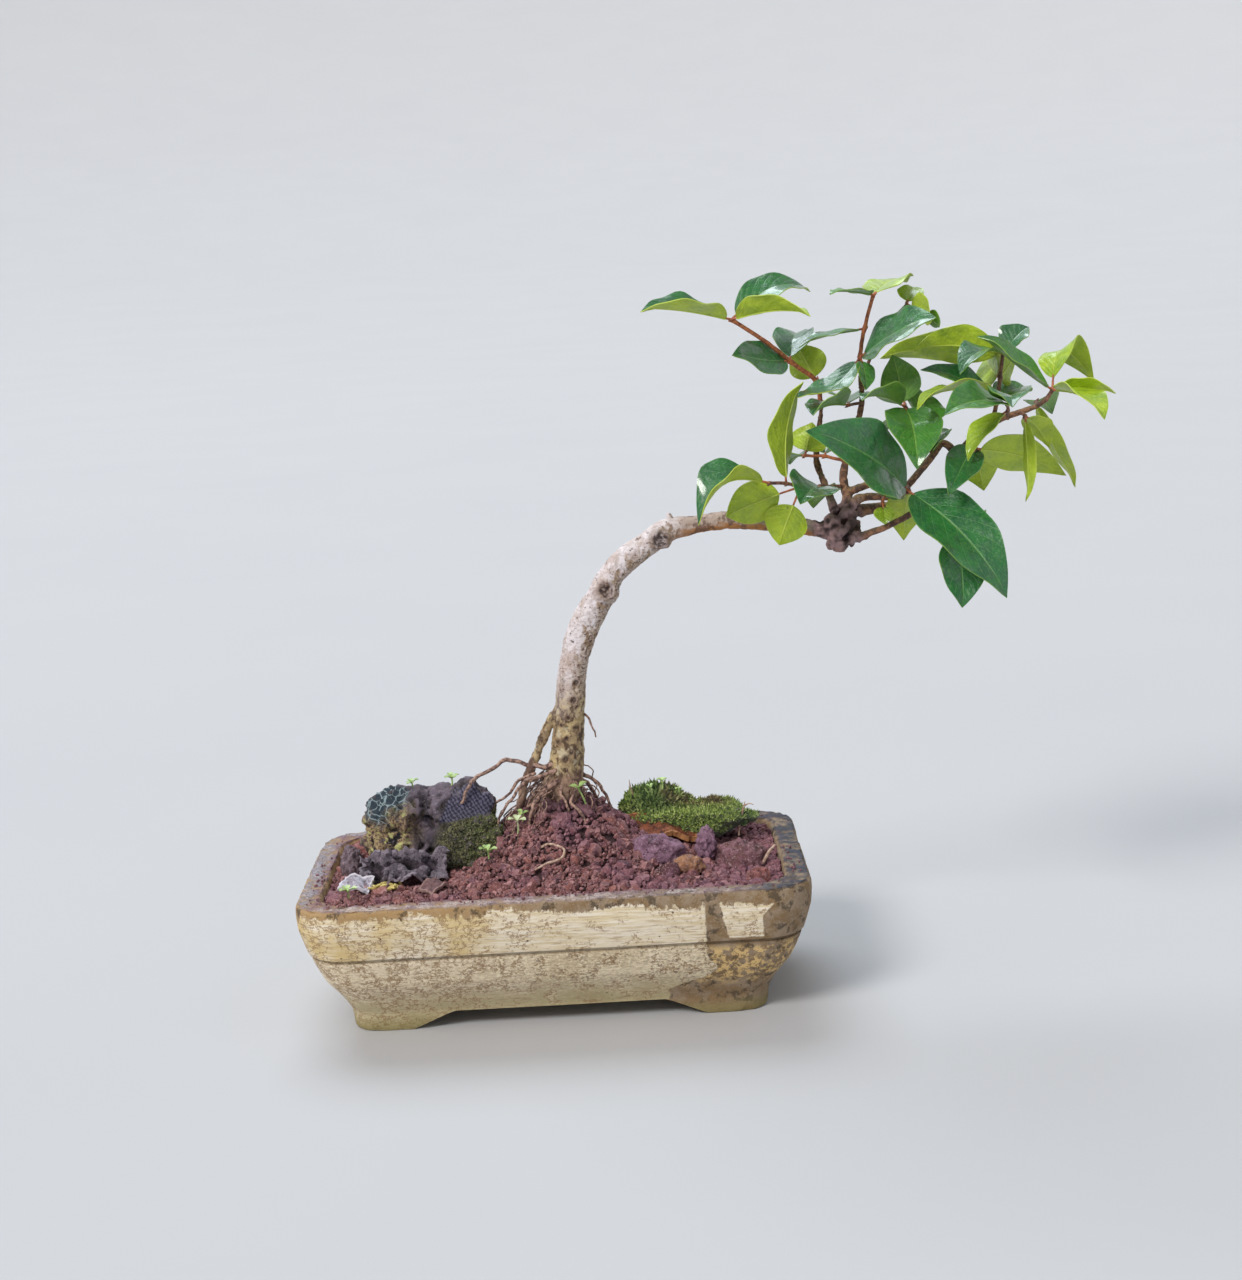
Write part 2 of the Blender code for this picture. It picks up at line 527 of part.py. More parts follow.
SPRAYS = {
    "spray_left_tip": Spray(
        ((116, 20, 232), (115, 18, 239), (104, 12, 248), (95, 6, 256), (81, 0, 266)), 1.2, (
            Leaf(4, (46, -14, 273), 22, (0, -1.2, 10), 0.03, 33),
            Leaf(4, (114, 20, 276), 17, (0, -6, 10), 0.18, 16),
            Leaf(4, (110, -22, 268), 19, (0, 5, 10), 0.06, 25),
            Leaf(2, (81, -14, 254), 17, (0, -9, 6), -0.04, 10),
            Leaf(2, (110, 42, 258), 18, (0, -2, 10), 0.10, 25),
            Leaf(1, (108, 24, 254), 16, (0, 10, 2), 0.06, 12),
        )),
    "spray_crown": Spray(
        ((132, 14, 243), (132, 14, 248), (134, 14, 259), (138, 14, 272)), 1.1, (
            Leaf(3, (119, -6, 275), 13, (0, 0, 10), 0.03, 6),
            Leaf(3, (155, 43, 277), 20, (-1, 0, 10), 0.06, 8),
            Leaf(2, (107, 4, 255), 14, (0, 0, 10), 0.03, 8),
            Leaf(1, (158, -9, 264), 26, (-2, -6, 9), 0.04, 12),
            Leaf(1, (104, -12, 237), 15, (0, -1.5, 10), -0.14, 12),
            Leaf(1, (133, 4, 236), 9, (5, -10, 2), 0.06, 15),
        )),
    "spray_crown_right": Spray(
        ((132, 14, 237), (135, 18, 244), (140, 22, 253), (147, 26, 262), (153, 28, 267)), 0.9, (
            Leaf(4, (158, 43, 274), 11, (2, 0, 10), 0.05, 10),
            Leaf(4, (161, 16, 262), 15, (1, 9, 5), 0.06, 12),
            Leaf(4, (165, 20, 258), 8, (0, 8, 6), 0.08, 15, 9),
        )),
    "spray_left_low": Spray(
        ((122, 6, 198), (113, 0, 199), (105, -4, 200), (99, -8, 202), (92, -12, 203)), 1.0, (
            Leaf(4, (63, -24, 191), 26, (0, -1, 10), 0.26, 40),
            Leaf(3, (106, -4, 241), 18, (-8, 6, 2), 0.08, 15),
            Leaf(2, (74.5, -10, 191), 18, (0, 10, 2), 0.05, 10, 9),
            Leaf(2, (95, -8, 178), 18, (0, 10, 2), 0.05, 10, 8),
            Leaf(1, (103, -26, 197), 22, (0, -8, 7), 0.08, 20),
            Leaf(1, (112, 24, 189), 16, (0, 6, 8), 0.08, 15),
        )),
    "spray_inner_left": Spray(
        ((123, 8, 208), (116, 8, 210), (108, 7, 211)), 0.8, (
            Leaf(2, (112, 14, 223), 16, (2, 10, 2), 0.06, 15),
            Leaf(2, (103, 22, 207), 16, (0, -3, 10), 0.08, 20),
            Leaf(1, (123, 40, 213), 20, (0, 3, 10), 0.10, 20),
        )),
    "spray_centre": Spray(
        ((159, 12, 209), (156, 10, 215), (153, 8, 222), (148, 6, 228)), 1.2, (
            Leaf(3, (145, 14, 248), 17, (2, 10, 3), 0.06, 12),
            Leaf(3, (148, -26, 208), 24, (1, -8, 5), 0.10, 20),
            Leaf(3, (129, -12, 234), 18, (0, 4, 10), 0.10, 25),
            Leaf(2, (159, 24, 232), 20, (2, -10, 3), 0.05, 15),
            Leaf(1, (155, -18, 214), 20, (0, -3, 10), 0.05, 25),
            Leaf(2, (143, 30, 218), 16, (0, -5, 10), 0.05, 20),
        )),
    "spray_stem_left": Spray(
        ((131.5, 12.8, 230), (126, 6, 230)), 0.8, (
            Leaf(1, (110, -10, 229), 22, (0, 4, 10), 0.08, 25),
            Leaf(1, (127, 32, 230), 16, (0, -2, 10), 0.08, 25),
        )),
    "spray_right_stem": Spray(
        ((181.5, 7, 219.3), (186, 16, 227), (188, 20, 236), (190, 22, 246)), 1.1, (
            Leaf(3, (154, 20, 250), 18, (0, 10, 5), 0.12, 10),
            Leaf(3, (168, -6, 242), 17, (0, -1, 10), 0.12, 20),
            Leaf(3, (201, 26, 256), 16, (0, -4, 10), 0.06, 25),
            Leaf(2, (187, 46, 245), 22, (-2, 10, 4), 0.05, 10),
            Leaf(2, (196, 30, 243), 15, (0, 10, 4), 0.05, 10),
            Leaf(1, (156, 10, 243), 14, (0, -6, 9), 0.08, 15),
            Leaf(1, (149, -18, 231), 17, (0, 3, 10), 0.11, 20),
            Leaf(1, (201, 32, 232), 16, (0, -3, 10), 0.05, 20),
            Leaf(3, (144, 44, 247), 18, (0, 8, 7), 0.06, 10),
        )),
    "spray_right_inner": Spray(
        ((188, 4, 222), (187, -2, 225), (186, -8, 228)), 0.9, (
            Leaf(2, (158, -34, 229), 20, (0, -6, 9), 0.08, 20),
            Leaf(1, (168.5, -14, 208.5), 12, (-4, -4, 8), 0.10, 20),
            Leaf(2, (182, -40, 231), 18, (0, -3, 10), 0.10, 20),
        )),
    "spray_right_under": Spray(
        ((174, 9, 213), (174, 2, 212), (174, -4, 211)), 0.9, (
            Leaf(1, (179.5, 14, 193), 17, (0, 7, 6), 0.05, 10),
            Leaf(2, (211.5, 12, 198), 17, (-1, 9, 5), 0.10, 10),
            Leaf(1, (160, -24, 197), 15, (-1, -9, 4), 0.05, 20),
        )),
    "spray_right_hanging": Spray(
        ((193, 1, 223.6), (193, -6, 223)), 0.9, (
            Leaf(1, (193, -10, 190), 8, (9, 5, 1), 0.02, 15),
            Leaf(1, (205, 8, 209.5), 12, (2, 6, 7), 0.08, 15),
        )),
    "spray_right_outer": Spray(
        ((199, 2, 225.8), (200, 8, 227)), 0.9, (
            Leaf(1, (221, 32, 191), 10, (6, 5, 4), -0.04, 12),
            Leaf(1, (211, 33, 221), 15, (0, 6, 8), 0.08, 20),
        )),
    "spray_right_tip": Spray(
        ((203, 0, 229), (205, 0, 232)), 1.1, (
            Leaf(1, (176, -8, 256), 18, (3, -4, 10), -0.02, 25),
            Leaf(1, (224, 14, 234.5), 22, (-1, 3, 10), 0.60, 10),
            Leaf(1, (228, -8, 231), 15, (0, 5, 9), 0.03, 12),
            Leaf(1, (220, -26, 223), 20, (0, 3, 10), 0.10, 20),
        )),
    "spray_front": Spray(
        ((148, 4.8, 196.6), (147, -4, 196)), 1.2, (
            Leaf(1, (107, -34, 225), 30, (2, -9, 6), 0.08, 15),
            Leaf(1, (180, -34, 158), 28, (3, -9, 5), 0.10, 15),
            Leaf(1, (147.5, 20, 174.5), 16, (0, 8, 6), 0.05, 10),
        )),
    "spray_heart": Spray(
        ((138, 5, 192.8), (137, -2, 192)), 0.8, (
            Leaf(1, (137, -8, 184), 8.5, (0, -9, 5), 0.03, 10),
            Leaf(1, (141, -5, 202), 14, (0, -7, 6), 0.05, 15),
        )),
    "spray_lower_tip": Spray(
        ((150.5, -5.7, 186), (158, -7, 183), (165, -7, 179)), 1.1, (
            Leaf(2, (164.5, -22, 152), 20, (2, -9, 4), 0.05, 15),
            Leaf(2, (177, 26, 176), 18, (1, 3, 10), 0.12, 20),
        )),
}


SUNLIT = {"spray_left_low", "spray_crown_right", "spray_right_under", "spray_right_hanging",
          "spray_right_outer", "spray_heart", "spray_right_tip"}


def blade_width(t):
    """Half width of a blade along its length, as a share of the greatest half width."""
    return t ** 0.55 * (1 - t ** 1.5) / WIDEST_SHARE


def leaf_stations(length, leaf, shares):
    """Distances along a leaf, from the twig to its tip, each with its half width."""
    stalk = leaf.stalk * MM
    stations = [(0.0, STALK_HALF_WIDTH)]
    for t in shares:
        reach = stalk + t * (length - stalk)
        stations.append((reach, max(leaf.width / 2 * MM * blade_width(t), STALK_HALF_WIDTH)))
    return stations


def leaf_axes(base, tip, face):
    """Directions along a leaf, across it and out of its upper side."""
    along = (tip - base).normalized()
    up = Vector(face)
    up = (up - up.dot(along) * along).normalized()
    return along, along.cross(up), up


def leaf_blade(base, tip, leaf, shares):
    """One leaf with its stalk, folded along its midrib and arched, as an open surface."""
    along, across, up = leaf_axes(base, tip, leaf.face)
    length = (tip - base).length
    fold = math.radians(leaf.fold)
    bm = bmesh.new()
    rows = []
    for reach, half_width in leaf_stations(length, leaf, shares):
        share = reach / length
        middle = base + along * reach + up * (leaf.bow * length * math.sin(math.pi * share))
        out = across * half_width * math.cos(fold)
        rise = up * half_width * math.sin(fold)
        wave = up * (LEAF_WAVE * half_width * math.sin(9 * share))
        rows.append([bm.verts.new(middle - out + rise + wave), bm.verts.new(middle),
                     bm.verts.new(middle + out + rise - wave)])
    for lower, upper in zip(rows, rows[1:]):
        for side in range(2):
            bm.faces.new((lower[side], lower[side + 1], upper[side + 1], upper[side]))
    bmesh.ops.triangulate(bm, faces=bm.faces)
    return bm


def add_leaf(base, leaf, collection, shares=LEAF_STATIONS):
    """A solid leaf that grows from a point of a twig."""
    mesh = bpy.data.meshes.new("leaf")
    bm = leaf_blade(base, Vector(leaf.tip) * MM, leaf, shares)
    bm.to_mesh(mesh)
    bm.free()
    item = place("leaf", mesh, collection)
    shell = item.modifiers.new("thickness", "SOLIDIFY")
    shell.thickness = LEAF_THICKNESS
    shell.offset = 0
    bake(item)
    return item


def add_spray(parts, cutters, material, name, spray):
    """A twig and the leaves that grow on it, fused in one piece and cut clear of the limbs."""
    count = len(spray.twig)
    radii = [spray.radius * (1 - 0.3 * index / count) for index in range(count)]
    twig = limb(spray.twig, radii, 0, cutters, steps=1)
    leaves = [add_leaf(Vector(spray.twig[leaf.node]) * MM, leaf, cutters) for leaf in spray.leaves]
    combine(twig, "UNION", leaves)
    combine(twig, "DIFFERENCE", trunk_tubes(cutters, POCKET_GAP))
    adopt(twig, name, parts, cutters, material)
    shade(twig, 40)


# Stones, stump, moss and litter


STONES = {
    "stone_purple": ((41, -12, 1.5), (11, 7, 6.5), 21, -14),
    "stone_upright": ((61, -9, 6), (4.2, 4.2, 7.2), 22, 0),
    "stone_tan": ((53, -25, 2.2), (6.0, 4.6, 4.4), 23, 8),
    "stone_dome": ((75, -15, 1), (9.8, 8, 8), 24, -10),
    "stone_red": ((80, -37, 0), (5, 4.6, 4.4), 25, 20),
    "stone_left": ((-79, 26, 2), (7.5, 6, 5.5), 26, 0),
    "stone_grey": ((-82, -1, 4), (4.6, 6, 8), 27, 12),
}
STUMP_LUMPS = (
    ((-50, 11, 66), (25, 13, 17), 31, 0),
    ((-37, 8, 72), (15, 13, 14), 32, 10),
    ((-62, 8, 75), (13.5, 12, 10.5), 33, -8),
    ((-35, -1, 61), (15, 11, 9.5), 34, 0),
    ((-62, 2, 62), (13, 8, 9), 35, 0),
)
STUMP_HOLLOW = ((-52, -7, 71), (7.5, 9, 6.5), 36, 0)
FACET_CENTRE = Vector((-37, -3, 75)) * MM
FACET_NORMAL = Vector((0.3, -0.85, 0.45)).normalized()
FACET_SIZE = 34 * MM
MOSS_LUMPS = (
    ((56, 21.5, 61.5), (28, 12.5, 7.2), 41, -2),
    ((43, 28, 64), (15, 10, 10), 42, 0),
    ((64, 30, 60), (15, 9, 8.5), 43, 0),
)
SHEET_COLUMNS = 8
SHEET_ROWS = 2
MOSS_CHIP = Sheet((42.5, 14, 60), 31, 17, 0, 22, 2.5, 0.7, 2.2)
FLAKES = {
    "bark_ribbon": Sheet((-60, -15, 55.5), 34, 14, 3, 42, 2.5, 0.8, 1.6),
    "bark_flake_pale": Sheet((-78, -23, 54), 13, 8, -20, 30, 1.5, 0.6, 1.2),
    "bark_flake_brown": Sheet((-47, -32, 53.7), 12, 7, 60, 20, 2.5, 0.4, 1.2),
}


def stone_lump(places, collection, grow=0.0):
    """The shape of a stone bedded in the mound, or a fatter copy of it to cut with."""
    (x, y, lift), size, seed, turn = places
    height = mound(x * MM, y * MM) / MM + lift
    return lump((x, y, height), size, seed, 0.22, 2, collection, turn, grow)


def add_stone(parts, cutters, material, name, places, pockets):
    """A lava stone bedded in the soil."""
    stone = stone_lump(places, parts)
    stone.name = name
    stone.data.materials.append(material)
    stone.data.shade_flat()
    pockets.append(stone_lump(places, cutters, POCKET_GAP))


def stump_lumps(collection, grow=0.0):
    """The swellings that the weathered stump is made of."""
    return [lump(centre, size, seed, 0.2, 3 if size[0] > 20 else 2, collection, turn, grow)
            for centre, size, seed, turn in STUMP_LUMPS]


def facet_cutter(collection):
    """A block that slices the smooth broken face off the stump's right shoulder."""
    bm = bmesh.new()
    bmesh.ops.create_cube(bm, size=FACET_SIZE)
    bmesh.ops.rotate(bm, verts=bm.verts, matrix=FACET_NORMAL.to_track_quat("Z", "Y").to_matrix())
    bmesh.ops.translate(bm, verts=bm.verts, vec=FACET_CENTRE + FACET_NORMAL * FACET_SIZE / 2)
    return place("facet", to_mesh(bm, "facet"), collection)


def add_stump(parts, cutters, material, pockets):
    """The old weathered stump with a dark hollow in its face."""
    pieces = stump_lumps(cutters)
    stump = pieces.pop(0)
    combine(stump, "UNION", pieces)
    centre, size, seed, turn = STUMP_HOLLOW
    combine(stump, "DIFFERENCE", [lump(centre, size, seed, 0.2, 2, cutters, turn)])
    combine(stump, "DIFFERENCE", [facet_cutter(cutters)])
    combine(stump, "DIFFERENCE", root_tubes(cutters, 0, ROOT_HOLE_GAP))
    for flake in FLAKES.values():
        combine(stump, "DIFFERENCE", [bark_sheet(flake, cutters, POCKET_GAP)])
    adopt(stump, "stump", parts, cutters, material)
    shade(stump, 50)
    pockets.extend(stump_lumps(cutters, POCKET_GAP))


def sheet_surface(sheet, margin):
    """The arched and rippled surface of a piece of bark, open, with a margin added to its outline."""
    bm = bmesh.new()
    rows = []
    for row in range(SHEET_ROWS + 1):
        line = []
        for column in range(SHEET_COLUMNS + 1):
            x = (sheet.length + margin) * (column / SHEET_COLUMNS - 0.5)
            y = (sheet.width + margin) * (row / SHEET_ROWS - 0.5)
            u = x / sheet.length + 0.5
            v = y / sheet.width + 0.5
            height = sheet.arch * math.sin(math.pi * u) + sheet.wave * math.sin(11 * u + 4 * v)
            line.append(bm.verts.new((x, y, height)))
        rows.append(line)
    for lower, upper in zip(rows, rows[1:]):
        for index in range(SHEET_COLUMNS):
            bm.faces.new((lower[index], lower[index + 1], upper[index + 1]))
            bm.faces.new((lower[index], upper[index + 1], upper[index]))
    bmesh.ops.rotate(bm, verts=bm.verts, matrix=Matrix.Rotation(math.radians(sheet.tilt), 3, "X"))
    bmesh.ops.rotate(bm, verts=bm.verts, matrix=Matrix.Rotation(math.radians(sheet.turn), 3, "Z"))
    bmesh.ops.translate(bm, verts=bm.verts, vec=sheet.centre)
    bmesh.ops.scale(bm, verts=bm.verts, vec=(MM, MM, MM))
    return bm


def bark_sheet(sheet, collection, grow=0.0):
    """A piece of bark as a solid, or a fatter copy of it to cut with."""
    mesh = bpy.data.meshes.new("bark")
    bm = sheet_surface(sheet, 2 * grow / MM)
    bm.to_mesh(mesh)
    bm.free()
    item = place("bark", mesh, collection)
    shell = item.modifiers.new("thickness", "SOLIDIFY")
    shell.thickness = sheet.thickness * MM + 2 * grow
    shell.offset = 0
    bake(item)
    return item


def add_bark(parts, cutters, material, name, sheet, pockets):
    """A piece of bark bedded in the soil."""
    bark = bark_sheet(sheet, cutters)
    adopt(bark, name, parts, cutters, material)
    shade(bark, 50)
    pockets.append(bark_sheet(sheet, cutters, POCKET_GAP))


def moss_lumps(collection, grow=0.0):
    """The cushions that the moss is made of, with tufts as relief."""
    return [lump(centre, size, seed, 0.22, 3 if size[0] > 20 else 2, collection, turn, grow)
            for centre, size, seed, turn in MOSS_LUMPS]


def add_moss(parts, cutters, material, pockets):
    """The cushion of moss that grows over its chip of bark."""
    pieces = moss_lumps(cutters)
    moss = pieces.pop(0)
    combine(moss, "UNION", pieces)
    combine(moss, "DIFFERENCE", [bark_sheet(MOSS_CHIP, cutters, POCKET_GAP)])
    for neighbour in ("stone_upright", "stone_dome", "stone_purple"):
        combine(moss, "DIFFERENCE", [stone_lump(STONES[neighbour], cutters, POCKET_GAP)])
    adopt(moss, "moss_cushion", parts, cutters, material)
    moss.data.shade_flat()
    pockets.extend(moss_lumps(cutters, POCKET_GAP))


SEEDLINGS = {
    "seedling_front": ((-26, -16), (0, -1, 5), 53),
    "seedling_slope": ((-14, -8), (0, -1, 6), 54),
    "seedling_root": ((14, 0), (-3, -3, 9), 55),
    "seedling_rim": ((-80, -36), (0, -1, 4), 56),
}
SEEDLING_REACH = 5.5
SEEDLING_LEAF_WIDTH = 4.2
SEEDLING_STALK = 1.2
SEEDLING_RADII = (0.5, 0.5, 0.4)
SEEDLING_DEPTH = 4


def add_seedling(parts, cutters, material, name, places, pockets):
    """A seedling: a stem in a plain hole and three small round leaves."""
    (x, y), lean, seed = places
    rng = random.Random(seed)
    foot = Vector((x, y, mound(x * MM, y * MM) / MM))
    top = foot + Vector(lean)
    points = (foot - Vector((0, 0, SEEDLING_DEPTH)), foot, top)
    hole = (points[0], foot + Vector((0, 0, SEEDLING_DEPTH)))
    stem = limb(points, SEEDLING_RADII, 0, cutters, steps=1)
    leaves = []
    start = rng.uniform(0, 360)
    for index in range(3):
        angle = math.radians(start + 120 * index)
        reach = Vector((math.cos(angle), math.sin(angle), rng.uniform(0.1, 0.5))) * SEEDLING_REACH
        leaf = Leaf(0, top + reach, SEEDLING_LEAF_WIDTH, (0, 0, 1), 0.08, 12, SEEDLING_STALK)
        leaves.append(add_leaf(top * MM, leaf, cutters, SEEDLING_STATIONS))
    combine(stem, "UNION", leaves)
    adopt(stem, name, parts, cutters, material)
    pockets.append(limb(hole, SEEDLING_RADII[:2], 0, cutters, steps=1, grow=ROOT_HOLE_GAP))


# Whole object


def settle_origin(parts):
    """Move every part so that the origin lies under the middle of the object's box."""
    bpy.context.view_layer.update()
    depsgraph = bpy.context.evaluated_depsgraph_get()
    corners = []
    for item in parts.objects:
        shown = item.evaluated_get(depsgraph)
        corners.extend(shown.matrix_world @ Vector(corner) for corner in shown.bound_box)
    middle_x = (min(corner.x for corner in corners) + max(corner.x for corner in corners)) / 2
    middle_y = (min(corner.y for corner in corners) + max(corner.y for corner in corners)) / 2
    for item in parts.objects:
        item.location.x -= middle_x
        item.location.y -= middle_y


def main():
    clear_scene()
    parts = make_collection("surinam_cherry_bonsai")
    cutters = make_collection("cutters")
    cement = make_material("painted_cement", (0.72, 0.66, 0.46), 0.85)
    plastic = make_material("screen_plastic", (0.03, 0.03, 0.03), 0.5)
    grit = make_material("lava_grit", (0.25, 0.10, 0.08), 0.9)
    bark = make_material("cherry_bark", (0.58, 0.49, 0.38), 0.8)
    leaf_dark = make_material("leaf_dark", (0.04, 0.20, 0.07), 0.3)
    leaf_sunlit = make_material("leaf_sunlit", (0.28, 0.42, 0.05), 0.35)
    rock = make_material("lava_stone", (0.30, 0.17, 0.17), 0.9)
    wood = make_material("stump_wood", (0.20, 0.18, 0.20), 0.9)
    red_bark = make_material("red_bark", (0.35, 0.13, 0.06), 0.8)
    grey_bark = make_material("grey_bark", (0.16, 0.14, 0.16), 0.85)
    moss = make_material("moss", (0.20, 0.40, 0.08), 0.9)
    sprout = make_material("seedling_leaf", (0.45, 0.62, 0.20), 0.5)

    pockets = []
    add_pot(parts, cutters, cement)
    add_drain_screen(parts, plastic, "drain_screen_left", -DRAIN_OFFSET)
    add_drain_screen(parts, plastic, "drain_screen_right", DRAIN_OFFSET)
    add_trunk(parts, cutters, bark)
    for name, spray in SPRAYS.items():
        add_spray(parts, cutters, leaf_sunlit if name in SUNLIT else leaf_dark, name, spray)
    for name, places in STONES.items():
        add_stone(parts, cutters, rock, name, places, pockets)
    add_stump(parts, cutters, wood, pockets)
    add_bark(parts, cutters, red_bark, "bark_chip", MOSS_CHIP, pockets)
    add_moss(parts, cutters, moss, pockets)
    for name, flake in FLAKES.items():
        add_bark(parts, cutters, grey_bark, name, flake, pockets)
    for name, places in SEEDLINGS.items():
        add_seedling(parts, cutters, sprout, name, places, pockets)
    pockets.append(limb(TRUNK_PATH[:4], TRUNK_RADII[:4], 3, cutters, steps=1, grow=POCKET_GAP))
    pockets.extend(root_tubes(cutters, 0, ROOT_HOLE_GAP))
    add_soil(parts, cutters, grit, pockets)
    settle_origin(parts)


main()
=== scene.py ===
"""Surinam cherry bonsai in a weathered cement pot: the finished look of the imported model.

Every piece is drawn in millimetres from the middle of the pot's underside, then moved into the
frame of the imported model. Pieces that stand for a solid repeat that solid's named sizes.
"""

import logging
import random
from collections.abc import Callable, Iterable, Sequence
from dataclasses import dataclass, field
from enum import Enum
from functools import cache
from math import cos, exp, hypot, pi, radians, sin, sqrt, tau

import bmesh
import bpy
import numpy as np
from bpy.types import Material, Mesh, Node, NodeSocket, Object
from mathutils import Matrix, Quaternion, Vector, noise
from mathutils.bvhtree import BVHTree


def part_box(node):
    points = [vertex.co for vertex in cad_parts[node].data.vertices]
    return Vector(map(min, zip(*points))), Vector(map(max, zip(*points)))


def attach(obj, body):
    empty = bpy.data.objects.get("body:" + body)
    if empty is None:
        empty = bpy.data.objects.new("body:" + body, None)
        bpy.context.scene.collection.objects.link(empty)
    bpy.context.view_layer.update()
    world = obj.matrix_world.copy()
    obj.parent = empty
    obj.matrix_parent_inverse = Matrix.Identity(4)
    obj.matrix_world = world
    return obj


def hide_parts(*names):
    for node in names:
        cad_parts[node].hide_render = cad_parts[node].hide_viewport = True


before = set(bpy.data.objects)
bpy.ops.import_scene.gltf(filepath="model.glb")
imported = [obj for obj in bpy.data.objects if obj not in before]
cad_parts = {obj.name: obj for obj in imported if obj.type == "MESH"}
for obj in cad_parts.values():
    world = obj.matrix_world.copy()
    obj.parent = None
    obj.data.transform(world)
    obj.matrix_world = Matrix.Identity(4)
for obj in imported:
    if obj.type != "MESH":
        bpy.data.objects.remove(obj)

log = logging.getLogger("bonsai")

Point = tuple[float, float, float]
Colour = tuple[float, float, float]
Faces = list[tuple[int, ...]]
Shape = tuple[np.ndarray, Faces]
Section = tuple[tuple[float, float], ...]
Strand = tuple[tuple[Point, ...], tuple[float, ...]]
Lump = tuple[Point, Point, int, float]

MM = 0.001
POT_LOW, POT_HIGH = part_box("pot")
MIDDLE = Vector(((POT_LOW.x + POT_HIGH.x) / 2, (POT_LOW.y + POT_HIGH.y) / 2, POT_LOW.z))
INTO_FRAME = Matrix.Translation(MIDDLE) @ Matrix.Scale(MM, 4)
FROM_FRAME = INTO_FRAME.inverted()
TRUNK_FOOT = Vector((4, 10, 44))
WIGGLE_SEED = 5


# Arithmetic on places


def linear(colour: Colour) -> tuple[float, ...]:
    """The light values that a shader takes for a screen colour, whose parts go from 0 to 255."""
    shares = (part / 255 for part in colour)
    return (*(share / 12.92 if share <= 0.04045 else ((share + 0.055) / 1.055) ** 2.4 for share in shares), 1)


def fade(value: float, low: float, high: float) -> float:
    """Rise smoothly from 0 at low to 1 at high.

    Args:
        value: the number to judge.
        low, high: where the rise starts and ends; low may be the larger.

    Returns:
        A share from 0 to 1.
    """
    share = min(max((value - low) / (high - low), 0.0), 1.0)
    return share * share * (3 - 2 * share)


def bumps(place: Vector, size: float, shift: float = 0.0) -> float:
    """Smooth noise between about -1 and 1.

    Args:
        place: where it is read, mm.
        size: the width of a bump, mm.
        shift: a number that picks another field of the same kind.

    Returns:
        The noise at that place.
    """
    return noise.noise(place / size + Vector((shift, 2 * shift, -shift)))


def ridges(place: Vector, size: float, shift: float = 0.0) -> float:
    """Noise with sharp crests at 1 and round hollows, of the same arguments as bumps."""
    return 1 - 2.4 * abs(bumps(place, size, shift))


def mound(x: float, y: float) -> float:
    """Height of the soil at a place, mm."""
    fall = ((x - TRUNK_FOOT.x) / 22) ** 2 + ((y - TRUNK_FOOT.y) / 26) ** 2
    return 52 + 27 * exp(-0.5 * fall)


def spline(knots: Sequence[Vector], t: float) -> Vector:
    """A place on the smooth curve through four knots, between the middle two."""
    before, start, stop, after = knots
    return 0.5 * (2 * start + (stop - before) * t + (2 * before - 5 * start + 4 * stop - after) * t ** 2
                  + (3 * start - before - 3 * stop + after) * t ** 3)


def fair(points: Sequence[Point | Vector], radii: Sequence[float],
         steps: int) -> tuple[list[Vector], list[float]]:
    """Run a smooth curve through points.

    Args:
        points: the places that it passes, mm.
        radii: a radius at each of them, mm.
        steps: how many pieces each stretch gets.

    Returns:
        The finer points, and a radius at each.
    """
    knots = [Vector(point) for point in points]
    knots = [knots[0] * 2 - knots[1], *knots, knots[-1] * 2 - knots[-2]]
    path: list[Vector] = []
    widths: list[float] = []
    for index in range(len(points) - 1):
        for step in range(steps):
            t = step / steps
            path.append(spline(knots[index:index + 4], t))
            widths.append(radii[index] * (1 - t) + radii[index + 1] * t)
    path.append(Vector(points[-1]))
    widths.append(radii[-1])
    return path, widths


# Shapes and meshes


def paired(ring: Sequence) -> Iterable[tuple]:
    """Each item of a closed ring with the one after it."""
    return zip(ring, (*ring[1:], ring[0]))


def squares(rows: int, columns: int) -> Faces:
    """The faces of a sheet whose points lie in rows and columns."""
    corners = (row * columns + column for row in range(rows - 1) for column in range(columns - 1))
    return [(a, a + 1, a + columns + 1, a + columns) for a in corners]


def brink(rows: int, columns: int) -> list[int]:
    """The points round the edge of such a sheet."""
    last = (rows - 1) * columns
    return [*range(columns), *range(2 * columns - 1, last + columns, columns),
            *range(last + columns - 2, last - 1, -1), *range(last - columns, 0, -columns)]


def tube(path: Sequence[Vector], radii: Sequence[float], sides: int) -> Shape:
    """A closed round tube along a path.

    Args:
        path: the points of its middle line, mm.
        radii: its radius at each of them, mm.
        sides: how many faces go round it.

    Returns:
        The points and faces of the tube.
    """
    end = len(path) - 1
    directions = [(path[min(i + 1, end)] - path[max(i - 1, 0)]).normalized() for i in range(end + 1)]
    side = directions[0].orthogonal().normalized()
    points = [path[0] - directions[0] * radii[0] * 0.5]
    for place, radius, along in zip(path, radii, directions):
        side = (side - side.dot(along) * along).normalized()
        other = along.cross(side)
        for index in range(sides):
            angle = tau * index / sides
            points.append(place + (side * cos(angle) + other * sin(angle)) * radius)
    points.append(path[-1] + directions[-1] * radii[-1] * 0.5)
    faces: Faces = []
    last = len(points) - 1
    for index in range(sides):
        following = (index + 1) % sides
        faces.append((0, 1 + following, 1 + index))
        for row in range(end):
            low = 1 + row * sides
            faces.append((low + index, low + following, low + sides + following, low + sides + index))
        low = last - sides
        faces.append((last, low + index, low + following))
    return np.array(points), faces


